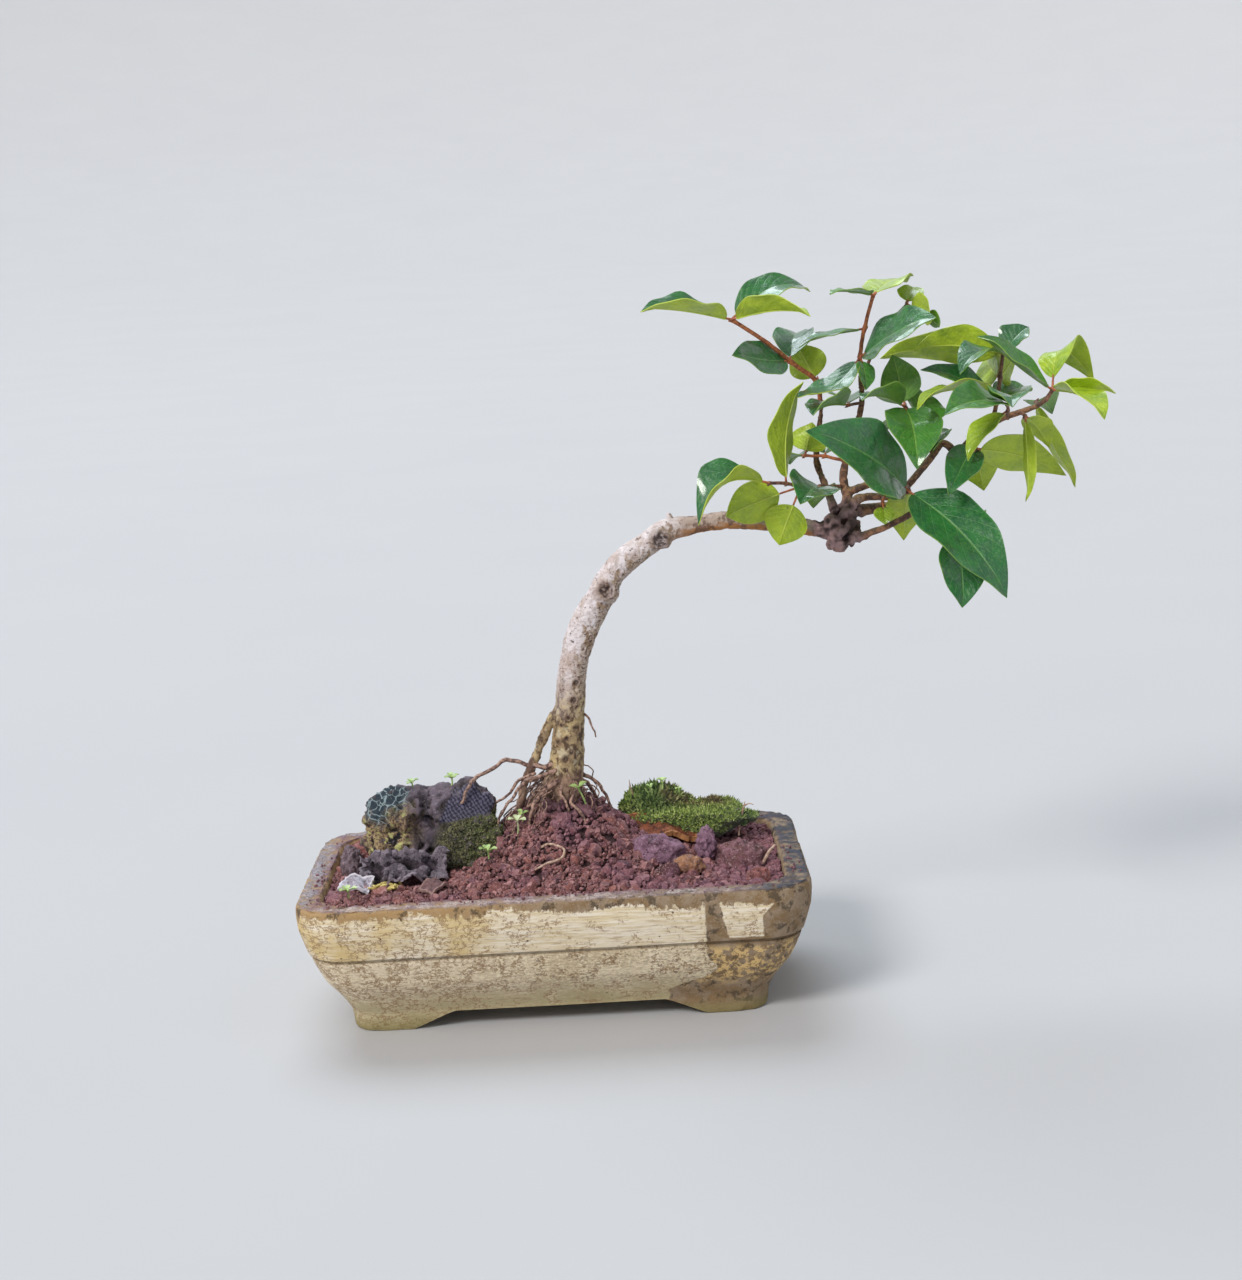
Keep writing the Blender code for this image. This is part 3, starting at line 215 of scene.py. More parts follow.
def ball(subdivisions: int) -> Shape:
    """A ball of radius 1 made of triangles.

    Args:
        subdivisions: how fine it is.

    Returns:
        The points and faces of the ball.
    """
    bm = bmesh.new()
    bmesh.ops.create_icosphere(bm, subdivisions=subdivisions, radius=1.0)
    points = np.array([tuple(vertex.co) for vertex in bm.verts])
    faces = [tuple(vertex.index for vertex in face.verts) for face in bm.faces]
    bm.free()
    return points, faces


def lump(centre: Point, half_size: Point, seed: int, roughness: float, subdivisions: int,
         turn: float = 0.0) -> Shape:
    """A weathered lump: a ball scaled to a size, with its surface pushed in and out.

    Args:
        centre, half_size: its place and reach, mm.
        seed: picks its bumps.
        roughness: the greatest push as a share of its size.
        subdivisions: how fine its faces are.
        turn: degrees about the upright.

    Returns:
        The points and faces of the lump.
    """
    rng = random.Random(seed)
    offset = Vector((rng.uniform(0, 50), rng.uniform(0, 50), rng.uniform(0, 50)))
    turned = Matrix.Rotation(radians(turn), 3, "Z")
    points, faces = ball(subdivisions)
    moved = []
    for row in points:
        co = Vector(row)
        push = noise.noise(co * 1.7 + offset) + 0.5 * noise.noise(co * 4.1 + offset)
        co *= 1 + roughness * push
        co = Vector((co.x * half_size[0], co.y * half_size[1], co.z * half_size[2]))
        moved.append(tuple(turned @ co + Vector(centre)))
    return np.array(moved), faces


class Sketch:
    """The points and faces of one piece, gathered in millimetres before they become a mesh."""

    def __init__(self) -> None:
        """Start with nothing drawn."""
        self.blocks: list[np.ndarray] = []
        self.faces: Faces = []
        self.slots: list[int] = []
        self.corners: list[tuple[float, float]] = []
        self.count = 0

    def add(self, shape: Shape, slot: int = 0, corners: Sequence[tuple[float, float]] | None = None) -> None:
        """Add a shape.

        Args:
            shape: its points and faces.
            slot: the material slot of its faces.
            corners: places on the leaf map, one for each point of the shape.
        """
        points, faces = shape
        self.blocks.append(points)
        for face in faces:
            self.faces.append(tuple(index + self.count for index in face))
            self.slots.append(slot)
            if corners is None:
                self.corners.extend([(0.5, 0.5)] * len(face))
            else:
                self.corners.extend(corners[index] for index in face)
        self.count += len(points)

    def mesh(self, name: str) -> Mesh:
        """Make the mesh of all that was added.

        Args:
            name: the mesh's name.

        Returns:
            The mesh, mm.
        """
        mesh = bpy.data.meshes.new(name)
        mesh.from_pydata(np.concatenate(self.blocks).tolist(), [], self.faces)
        mesh.polygons.foreach_set("material_index", self.slots)
        layer = mesh.uv_layers.new(name="leaf")
        layer.data.foreach_set("uv", [number for corner in self.corners for number in corner])
        mesh.update()
        return mesh


def reworked(mesh: Mesh, *modifiers: tuple[str, dict[str, object]]) -> Mesh:
    """A mesh with modifiers applied.

    Args:
        mesh: the mesh to work on, which is then dropped.
        modifiers: each one's type and settings.

    Returns:
        The new mesh.
    """
    item = bpy.data.objects.new("work", mesh)
    bpy.context.scene.collection.objects.link(item)
    for kind, settings in modifiers:
        modifier = item.modifiers.new(kind.lower(), kind)
        for key, value in settings.items():
            setattr(modifier, key, value)
    depsgraph = bpy.context.evaluated_depsgraph_get()
    depsgraph.update()
    made = bpy.data.meshes.new_from_object(item.evaluated_get(depsgraph))
    bpy.data.objects.remove(item, do_unlink=True)
    bpy.data.meshes.remove(mesh)
    return made


def skinned(mesh: Mesh, voxel: float, rounds: int) -> Mesh:
    """Fuse overlapping closed shapes under one even skin.

    Args:
        mesh: the shapes, mm.
        voxel: the size of the skin's faces, mm.
        rounds: how often it is smoothed.

    Returns:
        The skin.
    """
    return reworked(mesh, ("REMESH", {"mode": "VOXEL", "voxel_size": voxel}),
                    ("SMOOTH", {"factor": 0.5, "iterations": rounds}))


def cut(mesh: Mesh, shape: Shape) -> Mesh:
    """Cut a closed shape out of a mesh.

    Args:
        mesh: the mesh, which is then dropped.
        shape: what is cut away.

    Returns:
        The new mesh.
    """
    sketch = Sketch()
    sketch.add(shape)
    cutter = bpy.data.objects.new("cutter", sketch.mesh("cutter"))
    made = reworked(mesh, ("BOOLEAN", {"operation": "DIFFERENCE", "solver": "EXACT", "object": cutter}))
    bpy.data.objects.remove(cutter, do_unlink=True)
    return made


def sculpt(mesh: Mesh, rule: Callable[[Vector, Vector], float]) -> None:
    """Push each point of a mesh along its normal, and keep the push for the finish to read.

    Args:
        mesh: the mesh, mm.
        rule: gives the push at a place with a normal, mm.
    """
    normals = [vertex.normal.copy() for vertex in mesh.vertices]
    pushes = []
    for vertex, normal in zip(mesh.vertices, normals):
        push = rule(vertex.co, normal)
        vertex.co += normal * push
        pushes.append(push)
    kept = mesh.attributes.new("relief", "FLOAT", "POINT")
    kept.data.foreach_set("value", pushes)
    mesh.update()


def show(name: str, shape: Mesh | Sketch, finishes: Iterable["Finish"], nodes: Sequence[str] = (),
         sharp: float = 60.0) -> None:
    """Move a mesh into the frame and settle it there as a piece of the model.

    Args:
        name: the piece's name.
        shape: its mesh or its sketch, mm.
        finishes: one for each material slot.
        nodes: the solids that it stands for.
        sharp: edges steeper than this many degrees stay sharp.
    """
    mesh = shape.mesh(name) if isinstance(shape, Sketch) else shape
    mesh.transform(INTO_FRAME)
    for finish in finishes:
        mesh.materials.append(dressed(finish))
    mesh.shade_smooth()
    mesh.set_sharp_from_angle(angle=radians(sharp))
    mesh.name = name
    piece = bpy.data.objects.new(name, mesh)
    bpy.context.scene.collection.objects.link(piece)
    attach(piece, "root")
    if nodes:
        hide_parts(*nodes)
    triangles = sum(len(face.vertices) - 2 for face in mesh.polygons)
    log.info("%s: %d triangles, stands for %s", name, triangles, ", ".join(nodes) or "nothing in the solids")


# Shader arithmetic


class Value:
    """A number that varies over a surface, which takes part in arithmetic."""

    def __init__(self, graph: "Graph", socket: NodeSocket) -> None:
        """Wrap a socket of a graph."""
        self.graph = graph
        self.socket = socket

    def __add__(self, other: "Value | float") -> "Value":
        """Sum."""
        return self.graph.math("ADD", self, other)

    def __sub__(self, other: "Value | float") -> "Value":
        """Difference."""
        return self.graph.math("SUBTRACT", self, other)

    def __rsub__(self, other: float) -> "Value":
        """Difference from a plain number."""
        return self.graph.math("SUBTRACT", other, self)

    def __mul__(self, other: "Value | float") -> "Value":
        """Product."""
        return self.graph.math("MULTIPLY", self, other)

    def __abs__(self) -> "Value":
        """Size without its sign."""
        return self.graph.math("ABSOLUTE", self)

    def __or__(self, other: "Value | float") -> "Value":
        """The larger of the two."""
        return self.graph.math("MAXIMUM", self, other)

    __radd__ = __add__
    __rmul__ = __mul__

    def rise(self, low: float, high: float) -> "Value":
        """Rise smoothly from 0 at low to 1 at high, where low may be the larger."""
        node = self.graph.node("ShaderNodeMapRange", {"interpolation_type": "SMOOTHSTEP"},
                               {"Value": self, "From Min": low, "From Max": high})
        return Value(self.graph, node.outputs["Result"])


Feed = Value | NodeSocket | float | tuple


class Graph:
    """The nodes of one material, in which places are millimetres from the middle of the pot's underside."""

    def __init__(self, name: str, roughness: float = 0.8, **fixed: float) -> None:
        """Start a material.

        Args:
            name: the material's name.
            roughness: its roughness where nothing varies it.
            fixed: other sockets of the shader that are the same all over, with _ for spaces.
        """
        self.material = bpy.data.materials.new(name)
        self.material.use_nodes = True
        self.tree = self.material.node_tree
        self.shader = self.tree.nodes["Principled BSDF"]
        self.shader.inputs["Roughness"].default_value = roughness
        for key, value in fixed.items():
            self.shader.inputs[key.replace("_", " ")].default_value = value
        coordinates = self.node("ShaderNodeTexCoord")
        self.place = self.vector("MULTIPLY_ADD", coordinates.outputs["Object"], (1 / MM,) * 3,
                                 tuple(-MIDDLE / MM))
        parts = self.node("ShaderNodeSeparateXYZ", values={"Vector": self.place})
        self.x, self.y, self.z = (Value(self, socket) for socket in parts.outputs)

    def node(self, kind: str, settings: dict[str, object] | None = None,
             values: dict[str | int, Feed] | None = None) -> Node:
        """Add a node.

        Args:
            kind: its type.
            settings: its properties, and "stops" for the places and colours of a ramp.
            values: what each of its sockets holds or is linked to.

        Returns:
            The node.
        """
        made = self.tree.nodes.new(kind)
        for key, value in (settings or {}).items():
            if key == "stops":
                elements = made.color_ramp.elements
                while len(elements) < len(value):
                    elements.new(0.5)
                for element, (position, colour) in zip(elements, value):
                    element.position = position
                    element.color = colour
            else:
                setattr(made, key, value)
        for key, value in (values or {}).items():
            if isinstance(value, (Value, NodeSocket)):
                self.tree.links.new(value.socket if isinstance(value, Value) else value, made.inputs[key])
            else:
                made.inputs[key].default_value = value
        return made

    def math(self, operation: str, *values: Feed) -> Value:
        """The result of a Math node on one or two numbers."""
        node = self.node("ShaderNodeMath", {"operation": operation}, dict(enumerate(values)))
        return Value(self, node.outputs[0])

    def vector(self, operation: str, *values: Feed) -> NodeSocket:
        """The result of a Vector Math node."""
        node = self.node("ShaderNodeVectorMath", {"operation": operation}, dict(enumerate(values)))
        return node.outputs["Value" if operation == "DISTANCE" else "Vector"]

    def near(self, place: Point, inner: float, outer: float) -> Value:
        """A mask that is 1 within inner of a place and 0 beyond outer, mm."""
        return Value(self, self.vector("DISTANCE", self.place, place)).rise(outer, inner)

    def stretched(self, stretch: Point, shift: float) -> NodeSocket:
        """The places scaled along each axis and moved by a shift, so that a texture is another one."""
        return self.vector("MULTIPLY_ADD", self.place, stretch, (shift, -shift, 2 * shift))

    def noise(self, size: float, detail: float = 4.0, roughness: float = 0.55, stretch: Point = (1, 1, 1),
              shift: float = 0.0) -> Value:
        """Soft noise from 0 to 1.

        Args:
            size: the width of its largest blotches, mm.
            detail: how many finer layers it has.
            roughness: how strong these are.
            stretch: how much faster it changes along each axis.
            shift: a number that picks another field of the same kind.

        Returns:
            The noise.
        """
        node = self.node("ShaderNodeTexNoise", None, {"Vector": self.stretched(stretch, shift),
                                                      "Scale": 1 / size, "Detail": detail,
                                                      "Roughness": roughness})
        return Value(self, node.outputs[0])

    def cells(self, size: float, feature: str = "F1", shift: float = 0.0) -> Value:
        """Distance from the middle or the edge of the nearest of a field of cells, in cell sizes."""
        node = self.node("ShaderNodeTexVoronoi", {"feature": feature},
                         {"Vector": self.stretched((1, 1, 1), shift), "Scale": 1 / size})
        return Value(self, node.outputs["Distance"])

    def looks(self, axis: str) -> Value:
        """How much the surface looks along one axis, from -1 to 1."""
        normal = self.node("ShaderNodeNewGeometry").outputs["Normal"]
        return Value(self, self.node("ShaderNodeSeparateXYZ", values={"Vector": normal}).outputs[axis])

    def island(self) -> Value:
        """A number from 0 to 1 that each loose part of the mesh has for itself."""
        return Value(self, self.node("ShaderNodeNewGeometry").outputs["Random Per Island"])

    def relief(self) -> Value:
        """The push that sculpting gave the surface, mm."""
        return Value(self, self.node("ShaderNodeAttribute", {"attribute_name": "relief"}).outputs["Fac"])

    def mix(self, mask: Value | float, first: Feed, second: Feed) -> NodeSocket:
        """A colour between two, which is the second where the mask is 1."""
        low, high = (linear(colour) if isinstance(colour, tuple) else colour for colour in (first, second))
        return self.node("ShaderNodeMix", {"data_type": "RGBA"}, {0: mask, 6: low, 7: high}).outputs[2]

    def layers(self, colour: Feed, *coats: tuple[Value | float, Feed]) -> NodeSocket:
        """A colour with others laid over it.

        Args:
            colour: the lowest.
            coats: the mask and the colour of each one over it, the lowest first.

        Returns:
            The colour that shows.
        """
        for mask, over in coats:
            colour = self.mix(mask, colour, over)
        return colour

    def ramp(self, value: Value, *stops: tuple[float, Colour]) -> NodeSocket:
        """The colour that a ramp gives a number."""
        shown = [(place, linear(colour)) for place, colour in stops]
        return self.node("ShaderNodeValToRGB", {"stops": shown}, {"Fac": value}).outputs["Color"]

    def finish(self, colour: Feed, roughness: Value | None = None, height: Value | None = None,
               coat: Value | None = None) -> Material:
        """Feed the shader.

        Args:
            colour: the surface's colour.
            roughness: its roughness, where it varies.
            height: its fine relief, mm.
            coat: the weight of its gloss, where it varies.

        Returns:
            The finished material.
        """
        feeds: dict[str, Feed] = {"Base Color": colour}
        if roughness is not None:
            feeds["Roughness"] = roughness
        if coat is not None:
            feeds["Coat Weight"] = coat
        if height is not None:
            bump = self.node("ShaderNodeBump", None, {"Height": height, "Distance": MM, "Strength": 1.0})
            feeds["Normal"] = bump.outputs["Normal"]
        for key, value in feeds.items():
            self.tree.links.new(value.socket if isinstance(value, Value) else value, self.shader.inputs[key])
        return self.material


# Finishes


@dataclass(frozen=True)
class Finish:
    """A material that a surface is dressed in."""

    name: str

    def material(self) -> Material:
        """Make the material, as each kind of finish does for itself."""
        raise NotImplementedError(self.name)


@cache
def dressed(finish: Finish) -> Material:
    """The one material of a finish."""
    return finish.material()


@dataclass(frozen=True)
class PaintedCement(Finish):
    """Cream paint brushed on a cast cement pot, worn off at the rim and at the right of the front."""

    cream: Colour = (214, 196, 160)
    pale: Colour = (232, 220, 200)
    stain: Colour = (206, 178, 116)
    cement: Colour = (150, 130, 108)
    ochre: Colour = (132, 106, 74)
    scale: Colour = (222, 188, 128)
    olive: Colour = (150, 138, 92)
    scratch: Colour = (142, 110, 74)
    rim_grey: Colour = (150, 142, 150)
    rim_dark: Colour = (58, 62, 76)
    algae: Colour = (66, 72, 58)
    dust: Colour = (124, 88, 96)
    groove_shade: Colour = (98, 80, 56)

    def paint(self, g: Graph, blotch: Value, broad: Value, left: Value) -> NodeSocket:
        """The colour of the paint: brushed cream on the lip, speckled ochre on the belly, olive at the foot.

        Args:
            g: the graph.
            blotch, broad: soft noise.
            left: a mask for the left of the pot.

        Returns:
            The colour.
        """
        fine = g.noise(0.7, 3, 0.7, shift=1)
        strokes = g.noise(0.9, 4, 0.7, (0.05, 0.05, 1.0), 3)
        hairs = g.noise(0.45, 3, 0.6, (0.07, 0.07, 1.0), 12)
        worms = abs(g.noise(2.6, 5, 0.66, (0.7, 0.7, 1), 40) - 0.5)
        speckle = g.noise(0.8, 2, 0.6, (0.6, 0.6, 1), 50)
        lip = g.layers(self.cream, (strokes.rise(0.4, 0.6), self.pale),
            (left * broad.rise(0.36, 0.58) * 0.8, self.stain))
        belly = g.layers((226, 210, 180), (broad.rise(0.35, 0.65), (206, 188, 154)),
            (left * 0.55, (234, 216, 188)))
        crackle = (speckle * 0.6 + fine * 0.4).rise(0.5, 0.55) * g.z.rise(6, 20)
        belly = g.layers(belly,
            (crackle * (0.25 + blotch.rise(0.42, 0.6) * 0.65) * (1 - left * 0.35), (118, 98, 84)),
            (speckle.rise(0.42, 0.36) * 0.6, (240, 228, 204)),
            ((g.z + (blotch - 0.5) * 16).rise(20, 8) * 0.65, self.olive))
        colour = g.layers(belly, (g.z.rise(32.0, 33.6), lip), (hairs.rise(0.55, 0.64) * 0.6, (160, 134, 108)))
        marks = worms.rise(0.045, 0.018) * (blotch + left * 0.1).rise(0.5, 0.58)
        return g.mix(marks * 0.8, colour, self.scratch)

    def bare(self, g: Graph, blotch: Value, broad: Value, left: Value) -> Value:
        """Where the paint is gone: along the lip and at the right, round one island of paint.

        Args:
            g: the graph.
            blotch, broad: soft noise.
            left: a mask for the left of the pot.

        Returns:
            The mask.
        """
        ragged = g.noise(2.4, 6, 0.75, (1, 1, 0.6), 33)
        jag = (blotch - 0.5) * 3 + (ragged - 0.5) * 3
        edge = abs(g.z - 22).rise(6, 0) * 4.5 - g.z.rise(19, 11) * 15 + 57.5
        bare = (g.x + jag * g.z.rise(34, 28) + (ragged - 0.5) * 1.5 - edge).rise(-0.3, 0.5)
        island = (g.x + jag - 63.3 - (48 - g.z) * 0.25).rise(-0.3, 0.3) * g.z.rise(34.6, 35.4)
        island = island * (79.5 + g.z.rise(43, 50) * 4.5 - g.x + jag * 0.6).rise(-0.3, 0.3)
        island = island * (g.z + (ragged - 0.5) * 7).rise(50.0, 49.2) * g.y.rise(-40, -50)
        top = (g.z + (ragged - 0.5) * 12 + (broad - 0.5) * 12).rise(50.0, 51.0)
        worn = (broad + blotch * 0.8 + ragged * 0.5).rise(1.34, 1.42) * left * g.z.rise(30, 38)
        specks = (blotch + ragged * 0.5).rise(0.98, 1.04)
        return (bare * (1 - island)) | top | worn * 0.6 | specks

    def rim(self, g: Graph, blotch: Value, fine: Value) -> NodeSocket:
        """The colour of the crumbling rim: grey and lilac, dark at the right, dusty inside and in front.

        Args:
            g: the graph.
            blotch, fine: soft noise.

        Returns:
            The colour.
        """
        pale = g.noise(2.2, 5, 0.75, shift=21).rise(0.5, 0.62)
        colour = g.layers(self.rim_grey, ((g.x + (blotch - 0.5) * 70).rise(35, 88), self.rim_dark),
            (pale * (0.7 - g.x.rise(40, 88) * 0.55), (196, 188, 190)))
        front = (g.y + (blotch - 0.5) * 20).rise(-44, -54) * g.x.rise(90, 70)
        colour = g.layers(colour,
            (front * 0.7, g.mix(blotch.rise(0.42, 0.58), (126, 92, 108), (206, 184, 172))),
            (g.noise(5, 5, 0.7, shift=22).rise(0.52, 0.64) * g.x.rise(-20, 60) * 0.8, self.algae),
            (fine.rise(0.52, 0.62) * 0.8, (58, 50, 56)))
        inner = (abs(g.x) - 91) | (abs(g.y) - 51)
        dusty = (inner + (blotch - 0.5) * 12).rise(4.5, 0.5) * (0.8 - g.x.rise(45, 85) * 0.6)
        return g.mix(g.x.rise(60, 90) * 0.5, g.mix(dusty, colour, self.dust), self.rim_dark)

    def material(self) -> Material:
        """Make the material.

        Returns:
            The material.
        """
        g = Graph("painted_cement", 0.85)
        blotch = g.noise(7, 6, 0.68, shift=9)
        broad = g.noise(24, 4, 0.6, shift=5)
        fine = g.noise(0.9, 4, 0.7, shift=6)
        left = g.x.rise(15, -55)
        bare = self.bare(g, blotch, broad, left)
        raw = g.layers(self.cement, (blotch.rise(0.4, 0.62), self.ochre),
            (left * g.z.rise(34, 44) * 0.7, (178, 142, 92)), (fine.rise(0.52, 0.7) * 0.6, (178, 160, 134)))
        scales = g.noise(3.0, 6, 0.72, shift=13).rise(0.49, 0.55) * g.z.rise(33, 29) * g.z.rise(11, 18)
        raw = g.layers(raw, (scales * 0.9, self.scale),
            (g.noise(5, 5, 0.7, shift=14).rise(0.52, 0.62) * 0.8, (72, 60, 46)))
        colour = g.mix(bare, self.paint(g, blotch, broad, left), raw)
        # Painted shade in the belt groove: a thin darker line along it.
        groove = g.z.rise(31.7, 32.5) * g.z.rise(34.2, 33.5)
        colour = g.layers(colour, (groove * 0.45, self.groove_shade),
            ((g.z + (blotch - 0.5) * 12).rise(8, 1) * 0.7, (132, 120, 70)),
            (fine.rise(0.56, 0.66) * g.z.rise(14, 4) * 0.6, (92, 82, 52)))
        rim = (g.z + (blotch - 0.5) * 2.6).rise(53.4, 54.6)
        colour = g.mix(rim, colour, self.rim(g, blotch, fine))
        pits = g.cells(4.6, shift=2).rise(0.11, 0.06) * g.noise(5, 2, shift=30).rise(0.52, 0.6)
        colour = g.layers(colour, (pits * 0.8, (64, 50, 38)),
            (g.relief().rise(-0.6, -1.2) * (1 - rim) * 0.7, raw))
        strokes = g.noise(0.9, 4, 0.7, (0.05, 0.05, 1.0), 3)
        height = strokes * 0.14 * (1 - rim) + (1 - bare) * 0.18 + fine * 0.22 * (0.3 + bare + rim)
        return g.finish(colour, 0.74 + bare * 0.18, height + blotch * rim * 0.8 - pits * 0.5)


@dataclass(frozen=True)
class LavaGrit(Finish):
    """Crushed red lava, each grain of its own colour, over a bed darkened as painted shade."""

    island: bool = True

    def material(self) -> Material:
        """Make the material.

        Returns:
            The material.
        """
        g = Graph(self.name, 0.92)
        pick = g.island() if self.island else g.noise(1.6, 2, shift=4)
        colour = g.ramp(pick, (0.0, (60, 34, 38)), (0.18, (112, 68, 70)), (0.4, (138, 86, 78)),
                        (0.6, (94, 58, 66)), (0.84, (172, 124, 122)), (1.0, (76, 48, 56)))
        fine = g.noise(0.8, 4, 0.7)
        colour = g.mix(fine.rise(0.5, 0.62) * 0.55, colour, (196, 152, 150))
        mauve = (g.noise(16, 3, 0.6, shift=8) + g.x.rise(-20, 90) * 0.16).rise(0.48, 0.68)
        colour = g.mix(mauve * 0.42, colour, (116, 78, 100))
        humus = g.near((4, 10, 78), 9, 24) * g.noise(5, 3, shift=2).rise(0.32, 0.56)
        colour = g.mix(humus * 0.8, colour, (76, 54, 60))
        # The bed between the grains is darkened as painted shade in the gaps.
        if not self.island:
            colour = g.mix(0.8, colour, (34, 20, 24))
        return g.finish(colour, None, fine * 0.35 + g.noise(0.35, 2) * 0.12)


@dataclass(frozen=True)
class CherryBark(Finish):
    """Flaking bark: ochre at the foot, cream up the trunk, orange below the bend, dark at the burl."""

    pits: tuple[tuple[Point, float], ...] = ()

    def material(self) -> Material:
        """Make the material.

        Returns:
            The material.
        """
        g = Graph(self.name, 0.75)
        broad = g.noise(9, 5, 0.65)
        fine = g.noise(1.6, 5, 0.7, shift=3)
        flakes = g.noise(4.5, 5, 0.7, (1, 1, 0.6), 8)
        wrinkles = g.noise(1.7, 6, 0.75, (0.8, 0.8, 1.7), 15)
        cream = g.mix(broad.rise(0.4, 0.6), (232, 222, 224), (206, 188, 182))
        # The right-facing side turns ochre with more wrinkles and flakes: partly the bark's own colour,
        # partly painted shade.
        side = (g.looks("X") + (flakes - 0.5) * 1.6).rise(-0.15, 0.5)
        cream = g.layers(cream, (side * 0.6, (186, 162, 132)),
            (wrinkles.rise(0.5, 0.57) * (0.3 + side * 0.5), (140, 112, 100)),
            (flakes.rise(0.53, 0.58) * (0.35 + side * 0.45), (150, 122, 92)),
            (flakes.rise(0.4, 0.36) * 0.6, (240, 234, 236)),
            ((fine + wrinkles * 0.5 + side * 0.05).rise(0.85, 0.9) * 0.85, (78, 56, 50)))
        foot = g.layers((198, 174, 128), (broad.rise(0.4, 0.62), (160, 136, 104)),
            ((flakes + fine * 0.4).rise(0.68, 0.78) * 0.9, (78, 56, 42)),
            (g.noise(5, 3, shift=17).rise(0.56, 0.68) * 0.6, (222, 208, 176)))
        colour = g.mix((g.z + (broad - 0.5) * 30).rise(132, 108), cream, foot)
        # The bough's downward faces turn darker orange: partly the bark's own orange, partly painted shade.
        bough = g.layers((182, 160, 150), (g.looks("Z").rise(0.1, -0.55), (178, 120, 66)),
            (flakes.rise(0.5, 0.58) * 0.8, (104, 76, 62)), (fine.rise(0.56, 0.7) * 0.5, (206, 186, 172)))
        colour = g.mix((g.x + (broad - 0.5) * 18).rise(44, 66) * g.z.rise(168, 174), colour, bough)
        burl = g.layers((46, 30, 32), (g.relief().rise(-0.35, 0.65), (158, 128, 128)),
            (fine.rise(0.5, 0.66) * 0.5, (120, 84, 70)))
        colour = g.mix(g.near((121, 3, 183), 9.5, 14), colour, burl)
        limb = g.layers((156, 112, 84), ((broad * 0.4 + fine * 0.6).rise(0.44, 0.56), (86, 60, 54)),
            (g.looks("Z").rise(0.2, 0.9) * 0.4, (132, 126, 92)))
        colour = g.mix((g.x + (broad - 0.5) * 4).rise(127, 131) | g.z.rise(191, 195), colour, limb)
        roots = g.mix(flakes.rise(0.44, 0.6), (164, 134, 112), (104, 78, 66))
        colour = g.layers(colour,
            (Value(g, g.vector("DISTANCE", g.place, (4, 10, 96))).rise(9.5, 13) * g.z.rise(104, 94), roots),
            ((g.z + (broad - 0.5) * 12).rise(80, 72), (88, 58, 54)))
        for place, radius in self.pits:
            away = Value(g, g.vector("DISTANCE", g.place, place)) + (flakes - 0.5) * radius * 1.6
            colour = g.layers(colour, (away.rise(radius * 1.5, radius) * 0.5, (128, 100, 82)),
                (away.rise(radius * 0.95, radius * 0.6) * fine.rise(0.62, 0.46) * 0.9, (52, 32, 28)))
        height = fine * 0.4 + flakes * 0.4 + wrinkles * 0.6 + g.noise(0.7, 2, shift=11) * 0.1
        return g.finish(colour, 0.6 + fine * 0.3, height)


@dataclass(frozen=True)
class Twig(Finish):
    """Young bark of one colour family."""

    light: Colour
    dark: Colour

    def material(self) -> Material:
        """Make the material.

        Returns:
            The material.
        """
        g = Graph(self.name, 0.6)
        fine = g.noise(1.4, 4, 0.65)
        colour = g.mix(fine.rise(0.38, 0.62), self.light, self.dark)
        return g.finish(colour, 0.45 + fine * 0.3, fine * 0.2 + g.noise(4, 3, shift=5) * 0.2)


@dataclass(frozen=True)
class LeafSkin(Finish):
    """One side of a leaf, with its veins."""

    colour: Colour
    second: Colour
    vein: Colour
    gloss: float
    raised: float

    def material(self) -> Material:
        """Make the material.

        Returns:
            The material.
        """
        g = Graph(self.name, 0.42 - 0.14 * self.gloss, Coat_Roughness=0.12, Coat_IOR=1.45)
        flat = g.node("ShaderNodeUVMap", {"uv_map": "leaf"}).outputs["UV"]
        parts = g.node("ShaderNodeSeparateXYZ", values={"Vector": flat})
        across = abs(Value(g, parts.outputs["X"]) * 2 - 1)
        along = Value(g, parts.outputs["Y"])
        phase = along * 10 - across * 2.4 + 20
        saw = abs(g.math("FRACT", phase) - 0.5)
        inside = across.rise(0.96, 0.86)
        side_vein = saw.rise(0.055, 0.0) * inside
        midrib = across.rise(0.06, 0.015)
        veins = (side_vein * 0.42) | midrib
        mottle = g.noise(7, 5, 0.62)
        fine = g.noise(1.3, 3, 0.6, shift=6)
        colour = g.layers(self.colour, (mottle.rise(0.36, 0.66), self.second),
            (g.island().rise(0.0, 1.0) * 0.35, self.second), (veins * 0.55, self.vein),
            (fine.rise(0.45, 0.7) * 0.22, self.vein))
        spots = g.cells(5.5, shift=3).rise(0.09, 0.05) * g.noise(7, 2, shift=19).rise(0.52, 0.6)
        colour = g.layers(colour, (spots * 0.8, (84, 66, 34)), (across.rise(0.93, 1.0) * 0.35, self.vein))
        height = saw * 0.2 * inside + fine * 0.14 + mottle * 1.3 + veins * (0.22 * self.raised)
        coat = (0.35 + mottle.rise(0.42, 0.58) * 0.65) * self.gloss
        return g.finish(colour, 0.5 - 0.16 * self.gloss + fine * 0.14, height, coat)


FACE_EDGES = ((0.876, -0.485, 75.74), (-0.07, 0.998, -75.98), (-0.776, -0.631, 32.0))


